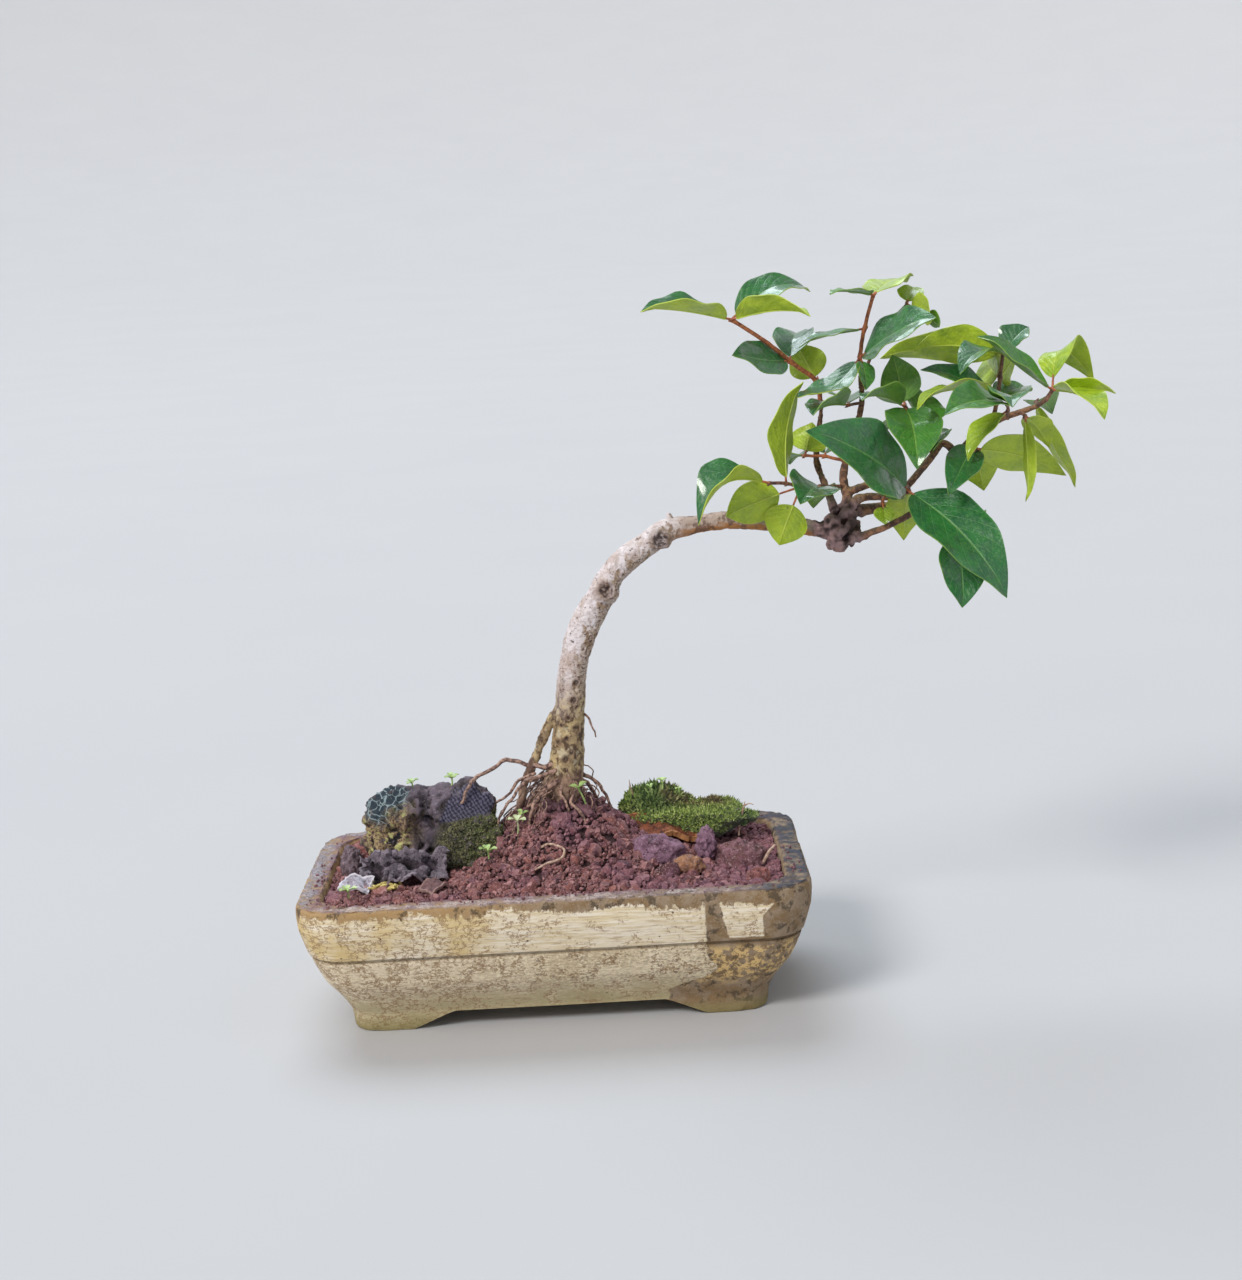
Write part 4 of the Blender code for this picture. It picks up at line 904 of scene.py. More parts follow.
@dataclass(frozen=True)
class StumpWood(Finish):
    """Old grey-violet wood: lichen, moss, a smooth grooved face, painted shade in crevices and hollow."""

    facet_centre: Point
    facet_normal: Point

    def material(self) -> Material:
        """Make the material.

        Returns:
            The material.
        """
        g = Graph(self.name, 0.9)
        rough = g.noise(3.2, 6, 0.7)
        fine = g.noise(1.0, 4, 0.7, shift=4)
        relief = g.relief()
        # Near black in the crevices and grey-violet on the crests: the near black is painted shade.
        colour = g.layers((18, 14, 18), (relief.rise(-0.8, 1.2), (108, 96, 108)),
            (rough.rise(0.5, 0.66) * 0.55, (96, 76, 64)), (fine.rise(0.55, 0.66) * 0.6, (160, 148, 158)))
        tan = g.layers((176, 150, 112), (fine.rise(0.44, 0.56), (92, 70, 58)),
            (rough.rise(0.52, 0.64), (196, 196, 128)))
        left = g.near((-70, -2, 70), 9, 20) * (rough + relief * 0.12).rise(0.38, 0.5)
        colour = g.mix(left, colour, tan)
        web = g.cells(3.4, "DISTANCE_TO_EDGE", shift=2) + (fine - 0.5) * 0.1
        lichen = g.mix(web.rise(0.02, 0.09), (140, 156, 160), (46, 58, 68))
        colour = g.mix(g.near((-68, 4, 81), 8, 13) * (rough + 0.12).rise(0.44, 0.56), colour, lichen)
        facing = Value(g, g.vector("DISTANCE", g.place, self.facet_centre))
        along, away, up = (
            (place - centre) * part for place, centre, part in zip((g.x, g.y, g.z), self.facet_centre,
                                                                   self.facet_normal))
        offset = along + away + up
        facet = abs(offset).rise(1.8, 1.0) * facing.rise(22, 18)
        for across, along, start in FACE_EDGES:
            facet = facet * (g.x * across + g.z * along + start + (rough - 0.5) * 4).rise(-0.4, 0.5)
        grooves = g.math("SINE", (g.x * 0.8 + g.z * 0.55) * 5.0 + rough * 14)
        cross = g.math("SINE", (g.z * 0.9 - g.x * 0.35) * 4.6 + fine * 9)
        face = g.layers((50, 46, 66),
            ((grooves * 0.35 + cross * 0.25 + 0.5).rise(0.2, 0.9) * 0.7, (124, 120, 146)),
            (g.near((-37, -3, 88), 3, 10) * rough.rise(0.42, 0.56) * 0.8, (178, 168, 172)))
        colour = g.mix(facet, colour, face)
        green = g.mix(fine.rise(0.42, 0.58), (112, 110, 74), (38, 36, 32))
        moss = g.near((-33, -10, 63), 11, 21) | g.near((-20, 4, 68), 5, 13)
        moss = moss * (rough + fine * 0.3).rise(0.5, 0.62)
        # The dark patch at the hollow is painted shade inside it.
        colour = g.layers(colour, (moss * (1 - facet * 0.85), green),
            (g.near((-52, -8, 71), 5, 9.5) * 0.85, (28, 20, 22)), (g.z.rise(57, 53) * 0.7, (78, 54, 54)))
        height = rough * 0.9 * (1 - facet * 0.8) + fine * 0.5 + grooves * facet * 0.16 + cross * facet * 0.05
        return g.finish(colour, 0.82 + fine * 0.15, height)


@dataclass(frozen=True)
class Moss(Finish):
    """Living moss, brighter in front and brown on its right shoulder."""

    deep: bool = False
    shade: float = 0.0

    def material(self) -> Material:
        """Make the material.

        Returns:
            The material.
        """
        g = Graph(self.name, 0.85, Sheen_Weight=0.25)
        broad = g.noise(6, 4, 0.65)
        pick = g.noise(0.6, 2, shift=2) if self.deep else g.island()
        colour = g.ramp(pick, (0.0, (64, 82, 44)), (0.35, (126, 150, 70)), (0.7, (186, 204, 104)),
                        (1.0, (226, 232, 160)))
        dark = g.ramp(pick, (0.0, (48, 62, 42)), (0.5, (82, 120, 66)), (1.0, (158, 184, 112)))
        colour = g.mix((g.near((42, 28, 70), 6, 15) | g.near((77, 20, 58), 4, 12)) * 0.75, colour, dark)
        brown = g.ramp(pick, (0.0, (66, 50, 44)), (0.6, (126, 104, 76)), (1.0, (190, 170, 120)))
        crest = g.near((62, 30, 69), 7, 16) | g.near((49, 26, 73), 4, 9) * 0.8
        colour = g.mix(crest * broad.rise(0.38, 0.52) * 0.9, colour, brown)
        # The moss bed under the shoots is darkened as painted shade.
        if self.deep:
            colour = g.mix(0.85, colour, (24, 27, 17))
        if self.shade:
            dull = g.ramp(pick, (0.0, (30, 26, 26)), (0.6, (92, 84, 66)), (1.0, (176, 168, 142)))
            colour = g.mix(self.shade + (1 - self.shade) * g.x.rise(-26, -42) * 0.8, colour, dull)
        return g.finish(colour, None, g.noise(0.8, 3) * 0.5)


@dataclass(frozen=True)
class DeadBark(Finish):
    """A dry piece of bark with pale worn edges, painted highlight where raised and painted shade where sunk.
    """

    light: Colour
    dark: Colour
    # The pale of the worn edges, also laid on raised parts as painted highlight.
    edge: Colour

    def material(self) -> Material:
        """Make the material.

        Returns:
            The material.
        """
        g = Graph(self.name, 0.85)
        rough = g.noise(3, 5, 0.7)
        fine = g.noise(0.9, 4, 0.7, shift=5)
        # Pale at the worn border and on raised parts, near black where the sheet sinks: the border is wear,
        # the rest painted highlight and painted shade.
        colour = g.layers(self.dark, ((rough * 0.6 + fine * 0.4).rise(0.38, 0.62), self.light),
            ((g.relief() + (fine - 0.5) * 1.2).rise(0.35, 1.05) * 0.8, self.edge),
            (g.relief().rise(-0.05, -0.7) * 0.8, (20, 15, 18)))
        return g.finish(colour, 0.75 + fine * 0.2, rough * 0.5 + fine * 0.5)


@dataclass(frozen=True)
class LavaStone(Finish):
    """A porous lava stone."""

    light: Colour
    dark: Colour

    def material(self) -> Material:
        """Make the material.

        Returns:
            The material.
        """
        g = Graph(self.name, 0.92)
        rough = g.noise(4, 6, 0.7)
        fine = g.noise(0.8, 4, 0.7, shift=5)
        pores = g.cells(1.3, shift=4).rise(0.3, 0.16) * g.noise(2.4, 2, shift=7).rise(0.44, 0.56)
        colour = g.layers(self.light, ((rough * 0.7 + fine * 0.3).rise(0.38, 0.62), self.dark),
            (g.relief().rise(-0.1, -0.6) * 0.6, (50, 32, 34)), (fine.rise(0.54, 0.64) * 0.6, (192, 164, 170)),
            (pores * 0.8, (44, 28, 30)))
        return g.finish(colour, None, rough * 0.5 + fine * 0.35 - pores * 0.5)


@dataclass(frozen=True)
class Tender(Finish):
    """A small plant part of one soft colour, such as a sprout, lichen or dry stalk."""

    light: Colour
    dark: Colour
    gloss: float = 0.2

    def material(self) -> Material:
        """Make the material.

        Returns:
            The material.
        """
        g = Graph(self.name, 0.55, Coat_Weight=self.gloss)
        fine = g.noise(1.2, 3, 0.6)
        colour = g.layers(self.light, (fine.rise(0.35, 0.65), self.dark), (g.island() * 0.4, self.light))
        return g.finish(colour, None, fine * 0.15)


@dataclass(frozen=True)
class ScreenPlastic(Finish):
    """Black moulded mesh, dusty with grit."""

    def material(self) -> Material:
        """Make the material.

        Returns:
            The material.
        """
        g = Graph(self.name, 0.55)
        dust = g.noise(2.5, 4, 0.6)
        colour = g.mix(dust.rise(0.5, 0.7) * 0.5, (32, 32, 34), (96, 72, 66))
        return g.finish(colour, 0.4 + dust * 0.4, dust * 0.1)


@dataclass(frozen=True)
class PaleFloor(Finish):
    """The plain pale sheet that the pot stands on."""

    def material(self) -> Material:
        """Make the material.

        Returns:
            The material.
        """
        g = Graph(self.name, 0.75)
        return g.finish(g.mix(g.noise(300, 2), (186, 186, 189), (191, 191, 193)))


CEMENT = PaintedCement("painted_cement")
GRAIN = LavaGrit("lava_grain")
SHADED_BED = LavaGrit("lava_bed_painted_shade", island=False)
RED_TWIG = Twig("red_twig", (196, 116, 70), (136, 72, 50))
BROWN_TWIG = Twig("brown_twig", (150, 104, 80), (82, 54, 50))
ROOTLET = Twig("rootlet", (176, 142, 124), (84, 58, 54))
TOP_DARK = LeafSkin("leaf_top_dark", (42, 116, 50), (27, 90, 48), (112, 164, 86), 1.0, -1.0)
TOP_MID = LeafSkin("leaf_top_mid", (70, 136, 40), (48, 112, 42), (140, 182, 80), 0.9, -1.0)
# The lime young top and the lime underside are partly the leaves' own colours, partly painted light shining
# through.
TOP_YOUNG_AND_GLOW = LeafSkin("leaf_top_young_and_glow", (172, 198, 42), (132, 168, 36), (204, 218, 96), 0.7, -1.0)
UNDER_GREEN = LeafSkin("leaf_under_green", (104, 152, 46), (82, 130, 46), (154, 182, 82), 0.35, 1.0)
UNDER_LIME_AND_GLOW = LeafSkin("leaf_under_lime_and_glow", (182, 204, 44), (148, 174, 40), (206, 218, 96), 0.3, 1.0)
SPROUT = Tender("sprout", (186, 206, 130), (118, 160, 84))
PALE_SPROUT = Tender("pale_sprout", (208, 214, 172), (160, 180, 112))
DRY_STALK = Tender("dry_stalk", (206, 178, 156), (140, 106, 90), 0.0)
CURLY_LICHEN = Tender("curly_lichen", (222, 206, 128), (176, 152, 82), 0.0)
SHADED_MOSS_BED = Moss("moss_bed", deep=True)
MOSS_SHOOT = Moss("moss_shoot")


# Pot


@dataclass
class Pot:
    """The cast pot: its walls, worn rim, belt groove, feet and drain holes."""

    half_length: float = 100.0
    half_width: float = 60.0
    corner: float = 18.0
    foot_height: float = 7.0
    arch: tuple[float, float] = (58.0, 41.0)
    side_arch: tuple[float, float] = (26.0, 16.0)
    drain_radius: float = 6.0
    drain_offset: float = 36.0
    points_round: int = 360
    outside: Section = (
        (18.6, 0), (18.1, 1), (17.9, 4), (17.3, 8), (14, 14), (9, 21), (6.2, 27), (4.6, 31.2), (4.4, 32.2),
        (5.0, 32.7), (4.9, 33.2), (3.4, 33.8), (2.1, 38), (0.5, 44), (0, 50), (0.2, 53.6), (1.2, 55))
    inside: Section = (
        (9, 55), (10, 54), (10.6, 50), (12.5, 38), (17, 24), (22, 16), (25, 14))

    def ring(self, inset: float, height: float) -> np.ndarray:
        """Evenly spaced points round the pot at one height.

        Args:
            inset: how far it is drawn in from the widest outline, mm.
            height: its height, mm.

        Returns:
            The points.
        """
        half_x = self.half_length - inset
        half_y = self.half_width - inset
        corner = self.corner - 0.35 * inset
        outline = []
        for quarter, (side_x, side_y) in enumerate(((1, 1), (-1, 1), (-1, -1), (1, -1))):
            for step in range(25):
                angle = radians(90 * (quarter + step / 24))
                outline.append((side_x * (half_x - corner) + corner * cos(angle),
                                side_y * (half_y - corner) + corner * sin(angle)))
        outline.append(outline[0])
        line = np.array(outline)
        lengths = np.concatenate([[0], np.cumsum(np.linalg.norm(np.diff(line, axis=0), axis=1))])
        marks = np.linspace(0, lengths[-1], self.points_round, endpoint=False)
        return np.stack([np.interp(marks, lengths, line[:, 0]), np.interp(marks, lengths, line[:, 1]),
                         np.full(self.points_round, height)], axis=1)

    def profile(self) -> list[tuple[float, float]]:
        """Draw the pot's section, from under its foot over the rim to its floor.

        Returns:
            The inset and the height of each of its points, mm.
        """
        levels: list[tuple[float, float]] = []
        for section, pitch in ((self.outside, 0.8), (self.inside, 1.6)):
            knots = [Vector((inset, height, 0)) for inset, height in section]
            knots = [knots[0] * 2 - knots[1], *knots, knots[-1] * 2 - knots[-2]]
            for index in range(len(section) - 1):
                start, stop = knots[index + 1:index + 3]
                pieces = max(1, round((stop - start).length / pitch))
                for step in range(pieces):
                    t = step / pieces
                    place = spline(knots[index:index + 4], t).lerp(start.lerp(stop, t), 0.5)
                    levels.append((max(place.x, 0.0), min(max(place.y, 0.0), 55.0)))
            levels.append(section[-1])
            if section is self.outside:
                levels.extend((1.2 + 7.8 * (0.08 + 0.12 * step), 55.0) for step in range(8))
        return levels

    def passage(self, foot: float, crown: float, along_x: bool) -> Shape:
        """A bar with the arch section of a passage under the pot.

        Args:
            foot, crown: half its width at the floor and at its flat top, mm.
            along_x: whether it runs the long way.

        Returns:
            The bar.
        """
        outline = ((-foot, -1), (-foot, 0), (-crown - 3, self.foot_height - 1), (-crown, self.foot_height),
                   (crown, self.foot_height), (crown + 3, self.foot_height - 1), (foot, 0), (foot, -1))
        points = []
        for end in (-130, 130):
            points.extend((end, across, up) if along_x else (across, end, up) for across, up in outline)
        count = len(outline)
        faces = [(i, (i + 1) % count, count + (i + 1) % count, count + i) for i in range(count)]
        faces += [tuple(range(count - 1, -1, -1)), tuple(range(count, 2 * count))]
        if not along_x:
            faces = [tuple(reversed(face)) for face in faces]
        return np.array(points, float), [tuple(reversed(face)) for face in faces]

    def drain(self, x: float) -> Shape:
        """A drill for a drain hole."""
        return tube([Vector((x, 0, 20)), Vector((x, 0, 1))], [self.drain_radius] * 2, 32)

    def wear(self, place: Vector, normal: Vector) -> float:
        """How far hand work, weather and knocks leave the surface below its full outline.

        Args:
            place: where, mm.
            normal: the way out there.

        Returns:
            The push, mm.
        """
        push = -0.35 * (0.5 + 0.5 * bumps(place, 30))
        push -= 0.1 * (0.5 + 0.5 * bumps(Vector((place.x * 0.06, place.y * 0.06, place.z)), 1.4, 3))
        rim = fade(place.z, 52.8, 54.8)
        edge = fade(place.z, 49.5, 54) * (1 - fade(normal.z, 0.85, 0.99))
        push -= 1.5 * edge * max(0.0, bumps(place, 7, 5) - 0.12)
        push -= 0.9 * edge * max(0.0, bumps(place, 2.6, 19) - 0.15)
        push -= rim * (0.5 + 0.55 * bumps(place, 2.8, 7) + 0.38 * bumps(place, 1.3, 9))
        hole = bumps(place, 2.2, 13)
        push -= 0.9 * rim * max(0.0, hole - 0.38)
        push -= 0.5 * max(0.0, bumps(place, 3.2, 17) - 0.5)
        foot = 1 - fade(place.z, 0.5, 3)
        push -= 0.7 * foot * max(0.0, bumps(place, 5, 11))
        return min(push, 0.0)

    def build(self) -> None:
        """Make the pot and dress the screens over its drain holes."""
        rows = [self.ring(inset, height) for inset, height in self.profile()]
        count = self.points_round
        faces: Faces = []
        for level in range(len(rows) - 1):
            for index in range(count):
                following = (index + 1) % count
                low = level * count
                faces.append((low + index, low + following, low + count + following, low + count + index))
        last = (len(rows) - 1) * count
        faces.append(tuple(range(count - 1, -1, -1)))
        faces.append(tuple(range(last, last + count)))
        sketch = Sketch()
        sketch.add((np.concatenate(rows), faces))
        mesh = sketch.mesh("pot")
        sculpt(mesh, self.wear)
        for shape in (self.passage(*self.arch, along_x=False), self.passage(*self.side_arch, along_x=True),
                      self.drain(-self.drain_offset), self.drain(self.drain_offset)):
            mesh = cut(mesh, shape)
        show("cement_pot", mesh, [CEMENT], ["pot"], 40)
        for name in ("drain_screen_left", "drain_screen_right"):
            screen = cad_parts[name]
            screen.data.materials.clear()
            screen.data.materials.append(dressed(ScreenPlastic("screen_mesh")))
            log.info("%s: keeps its solid", name)


# Soil


@dataclass
class Soil:
    """The mound of crushed lava: a bumpy bed with loose grains over it."""

    half_length: float = 91.5
    half_width: float = 51.5
    corner: float = 14.0
    pitch: float = 0.9
    brim: float = 54.2
    slope: float = 0.9
    fine_grains: int = 9500
    coarse_grains: int = 1500
    obstacles: tuple[str, ...] = (
        "trunk", "stump", "moss_cushion", "bark_chip", "bark_ribbon", "bark_flake_pale", "bark_flake_brown",
        "stone_purple", "stone_upright", "stone_tan", "stone_dome", "stone_red", "stone_left", "stone_grey")

    def depth_inside(self, x: float, y: float) -> float:
        """How far a place lies inside the pot's wall.

        Args:
            x, y: the place, mm.

        Returns:
            The distance from the wall, mm.
        """
        dx = abs(x) - (self.half_length - self.corner)
        dy = abs(y) - (self.half_width - self.corner)
        if dx > 0 and dy > 0:
            return self.corner - hypot(dx, dy)
        return self.corner - max(dx, dy)

    def top(self, x: float, y: float) -> float:
        """Height of the soil, which runs down to the brim behind the trunk, mm."""
        return min(mound(x, y), self.brim + self.slope * self.depth_inside(x, y))

    def surface(self, x: float, y: float) -> float:
        """Height of the bed, mm."""
        spot = Vector((x, y, 0))
        return (self.top(x, y) - 2.2 + 0.55 * ridges(spot, 2.6, 3) + 0.35 * ridges(spot, 1.3, 7)
                + 0.6 * bumps(spot, 9, 5))

    def bed(self) -> None:
        """Make the bed that shows between the grains, with a wall and an underside inside the pot."""
        columns = round(2 * self.half_length / self.pitch)
        rows = round(2 * self.half_width / self.pitch)
        places: dict[tuple[int, int], Point] = {}
        for row in range(rows + 1):
            for column in range(columns + 1):
                x = -self.half_length + 2 * self.half_length * column / columns
                y = -self.half_width + 2 * self.half_width * row / rows
                if self.depth_inside(x, y) >= 0:
                    places[column, row] = (x, y, self.surface(x, y))
        cells = [((c, r), (c + 1, r), (c + 1, r + 1), (c, r + 1)) for c, r in places]
        cells = [cell for cell in cells if all(spot in places for spot in cell)]
        used = dict.fromkeys(spot for cell in cells for spot in cell)
        order = {spot: index for index, spot in enumerate(used)}
        points = [places[spot] for spot in order]
        faces = [tuple(order[spot] for spot in cell) for cell in cells]
        edges = {pair for face in faces for pair in paired(face)}
        onward = {here: there for here, there in edges if (there, here) not in edges}
        border = [min(onward)]
        while len(border) < len(onward):
            border.append(onward[border[-1]])
        low = {spot: len(points) + index for index, spot in enumerate(border)}
        points += [(points[spot][0], points[spot][1], 44) for spot in border]
        faces += [(onward[spot], spot, low[spot], low[onward[spot]]) for spot in border]
        faces.append(tuple(low[spot] for spot in reversed(border)))
        mesh = bpy.data.meshes.new("bed")
        mesh.from_pydata(points, [], faces)
        show("soil_bed", mesh, [SHADED_BED], ["soil"])

    def obstacle_tree(self) -> BVHTree:
        """Gather the solids that stand in the soil.

        Returns:
            Their faces, for finding the nearest one, mm.
        """
        points: list[Vector] = []
        faces: Faces = []
        for name in self.obstacles:
            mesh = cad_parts[name].data
            start = len(points)
            points.extend(FROM_FRAME @ vertex.co for vertex in mesh.vertices)
            faces.extend(tuple(start + index for index in face.vertices) for face in mesh.polygons)
        return BVHTree.FromPolygons(points, faces)

    def grains(self, name: str, count: int, subdivisions: int, sizes: tuple[float, float], bury: float,
               seed: int, tree: BVHTree) -> None:
        """Scatter grains of one class.

        Args:
            name: the piece's name.
            count: how many are tried.
            subdivisions: how fine each one is.
            sizes: least and greatest radius, mm.
            bury: how deep the middle of a grain lies below the surface, as a share of its radius.
            seed: picks the places.
            tree: the solids to stay out of.
        """
        rng = np.random.default_rng(seed)
        points, faces = ball(subdivisions)
        variants = []
        for _ in range(14):
            planes = rng.normal(size=(9, 3))
            planes /= np.linalg.norm(planes, axis=1)[:, None]
            reach = np.max(points @ planes.T, axis=1)
            stretch = rng.uniform(0.68, 1.1, 3)
            dents = rng.uniform(0.86, 1.05, (len(points), 1))
            variants.append(points / np.maximum(reach, 0.62)[:, None] * stretch * dents * 0.9)
        sketch = Sketch()
        for _ in range(count):
            x = rng.uniform(-self.half_length, self.half_length)
            y = rng.uniform(-self.half_width, self.half_width)
            lumpiness = 0.5 + 0.5 * fade(x, 0, 60) * fade(y, 10, -20) + 0.3 * fade(x, -70, -85)
            radius = sizes[0] + (sizes[1] - sizes[0]) * rng.beta(1.3, 3.4) * min(1.3, lumpiness + 0.25)
            turn = rng.normal(size=4)
            if self.depth_inside(x, y) < radius * 0.75 + 1.4:
                continue
            height = self.top(x, y) - 0.7 - bury * radius + rng.uniform(-0.6, 0.9)
            centre = Vector((x, y, height))
            nearest, normal, _, distance = tree.find_nearest(centre)
            if distance < 6 and (centre - nearest).dot(normal) < 0 or distance < 0.45 * radius:
                continue
            rotation = np.array(Quaternion(turn).normalized().to_matrix())
            variant = variants[rng.integers(len(variants))]
            sketch.add((variant @ rotation.T * radius + np.array(centre), faces))
        show(name, sketch, [GRAIN], sharp=24)

    def crumbs(self) -> None:
        """Scatter crumbs of grit over the rim, most of them in front."""
        rng = np.random.default_rng(9)
        points, faces = ball(1)
        sketch = Sketch()
        for _ in range(2600):
            x, y = rng.uniform(-98, 98), rng.uniform(-58, 58)
            out = -self.depth_inside(x, y)
            if not 0.2 < out < 6.0 or rng.random() < out / 7 + (0.0 if y < 0 else 0.4):
                continue
            radius = rng.uniform(0.25, 0.75)
            stretched = points * rng.uniform(0.7, 1.2, 3) * rng.uniform(0.85, 1.1, (len(points), 1))
            sketch.add((stretched * radius + np.array((x, y, 54.5 + 0.4 * radius)), faces))
        show("rim_crumbs", sketch, [GRAIN], sharp=24)

    def build(self) -> None:
        """Make the bed and its grains."""
        self.crumbs()
        self.bed()
        tree = self.obstacle_tree()
        self.grains("fine_grains", self.fine_grains, 1, (0.7, 1.7), 0.0, 3, tree)
        self.grains("coarse_grains", self.coarse_grains, 2, (1.3, 4.0), 0.05, 4, tree)


# Trunk


@dataclass
class Trunk:
    """The arching trunk with its knots, burl, limbs, stubs and roots."""

    path: tuple[Point, ...] = (
        (4, 10, 44), (4, 10, 62), (4, 10, 80), (6, 10, 88), (8, 10, 102), (10, 10, 120), (12, 10, 133),
        (17, 10, 147), (23, 10, 157), (29, 9, 167), (36, 8, 174), (44, 8, 179), (52, 8, 184), (64, 8, 186),
        (76, 8, 187), (89, 7, 186), (101, 6, 184), (111, 5, 182), (122, 4, 181))
    radii: tuple[float, ...] = (
        5, 7.4, 8.2, 7.2, 6.1, 5.8, 5.7, 6.2, 5.7, 5.2, 5.2, 4.8, 4.6, 3.4, 3.7, 3.6, 3.2, 3.0, 4.4)
    limbs: dict[str, Strand] = field(default_factory=lambda: {
        "arch": (((122, 4, 184), (124, 2, 190), (128, 3, 193), (133, 5, 193.5), (142, 7, 193), (148, 6, 197),
                  (153, 7, 202), (159, 10, 208), (163, 14, 212), (166, 14, 211), (169, 12, 208),
                  (174, 10, 213),
                  (181, 6, 219), (187, 4, 222), (193, 2, 224), (199, 1, 226), (203, 0, 229)),
                 (2.6, 2.1, 1.8, 1.6, 1.6, 1.5, 1.5, 1.5, 1.5, 1.6, 1.7, 1.5, 1.4, 1.3, 1.25, 1.15, 1.1)),
        "stem": (((123, 4, 188), (124, 6, 194), (123, 8, 200), (125, 10, 211), (129, 12, 220), (132, 14, 230),
                  (132, 14, 241)), (2.3, 2.0, 1.7, 1.5, 1.3, 1.2, 1.1)),
        "left_stem": (((120, 6, 186), (117, 16, 196), (114, 22, 207), (115, 22, 217), (117, 20, 231)),
                      (1.9, 1.4, 1.2, 1.1, 1.0)),
        "stub": (((124, 5, 188), (134, 10, 188), (143, 16, 188), (149, 20, 188)), (2.8, 2.3, 2.1, 2.0)),
        "short_stub": (((124, 7, 195), (129, 7, 197), (133, 8, 198)), (1.9, 1.6, 1.5)),
        "lower": (((120, 3, 178), (127, 0, 178), (132, -1, 180), (138, -2, 182), (144, -4, 185),
                   (148, -5, 187),
                   (151, -6, 186)), (2.6, 1.7, 1.4, 1.3, 1.3, 1.4, 1.2)),
        "buttress": (((5, 10, 115), (1, 10, 109), (-3, 9, 101), (-7, 8, 92), (-11, 7, 84), (-14, 6, 70)),
                     (1.6, 1.8, 1.8, 1.7, 1.6, 1.2)),
    })
    snag: Strand = (
        ((53, 8, 184), (53.4, 7.6, 189.2), (52.6, 7.4, 191)), (1.6, 1.2, 0.7))
    burl_lumps: tuple[tuple[Point, Point, int], ...] = (
        ((121, 4, 181.5), (4.6, 4.8, 6.4), 5), ((117, 2, 183.5), (3.2, 4.0, 4.0), 6),
        ((120, 1, 176), (3.2, 3.2, 3.2), 7),
        ((26, 9, 161), (5.8, 6.2, 6), 8), ((49, 7, 182), (5.4, 5.4, 4.8), 9))
    roots: dict[str, Strand] = field(default_factory=lambda: {
        "long": (((4, 8, 92), (-2, 6, 91), (-9, 7, 92), (-14, 7, 94), (-19, 8, 94), (-24, 7, 91),
                  (-29, 6, 89),
                  (-33, 2, 86), (-36, -2, 80)), (1.6, 1.4, 1.2, 1.1, 1.1, 1, 1, 0.9, 0.7)),
        "middle": (((3, 5, 90), (-5, 2, 88), (-11, 1, 86), (-16, 0, 80), (-21, 0, 72), (-24, 0, 58)),
                   (1.8, 1.4, 1.2, 1.0, 0.9, 0.8)),
        "fork": (((-6, 4, 89), (-13, 5, 86), (-18, 5, 80), (-24, 6, 76), (-28, 6, 62)),
                 (1.2, 1, 0.9, 0.8, 0.7)),
        "near": (((4, 4, 86), (-3, 0, 82), (-8, -4, 76), (-10, -6, 66)), (2.0, 1.4, 1.2, 0.9)),
        "front": (((5, 5, 86), (4, 1, 81), (6, -2, 77), (7, -4, 66)), (1.8, 1.1, 1.0, 0.8)),
        "front_right": (((8, 6, 87), (10, 1, 82), (8, -3, 78), (12, -7, 74), (15, -9, 63)),
                        (1.8, 1.1, 1.0, 1.0, 0.8)),
        "right": (((8, 10, 88), (14, 12, 85), (19, 13, 81), (23, 14, 72), (25, 14, 62)),
                  (2.2, 1.4, 1.1, 1, 0.8)),
        "back": (((4, 14, 88), (1, 20, 83), (-3, 26, 76), (-5, 30, 62)), (2.4, 1.6, 1.3, 1.0)),
        "back_right": (((6, 14, 87), (12, 20, 82), (17, 25, 74), (20, 28, 60)), (2.2, 1.5, 1.2, 0.9)),
        "tendril": (((12, 10, 113), (16, 9, 110), (18, 9, 106), (19, 10, 101)), (0.8, 0.6, 0.5, 0.4)),
    })
    scars: tuple[tuple[Point, float, float], ...] = (
        ((26.5, 3.8, 162), 3.4, 1.1), ((49, 2.8, 181), 4.0, 0.9), ((12.4, 4.5, 125), 1.5, 0.7),
        ((10.8, 4.6, 118), 1.7, 0.7), ((11.7, 4.2, 106), 2.0, 0.8), ((6.6, 3.4, 94), 1.8, 0.7),
        ((3.5, 5, 101), 1.5, 0.6), ((8.5, 4.4, 111), 1.2, 0.5), ((5.8, 5.5, 108), 1.3, 0.5),
        ((9.0, 3.4, 97), 1.3, 0.5), ((13.5, 5.5, 132), 1.0, 0.4), ((7.4, 3.8, 102.5), 1.2, 0.5))
    hair_roots: int = 60

    def strands(self) -> list[Shape]:
        """Draw the twisted ropes of wood on the burl.

        Returns:
            A tube for each rope.
        """
        made = []
        for index in range(4):
            places = []
            for step in range(9):
                t = step / 8
                angle = radians(90 * index + 210 * t)
                reach = 3.2 + 2.6 * sin(pi * min(1.0, t + 0.15))
                turn = Vector((cos(angle), sin(angle), 0))
                places.append(Vector((120.5 + 2 * t, 3, 174.5 + 16 * t)) + turn * reach)
            path, radii = fair(places, [1.0, 1.3, 1.5, 1.6, 1.6, 1.5, 1.4, 1.2, 1.0], 3)
            made.append(tube(path, radii, 12))
        return made

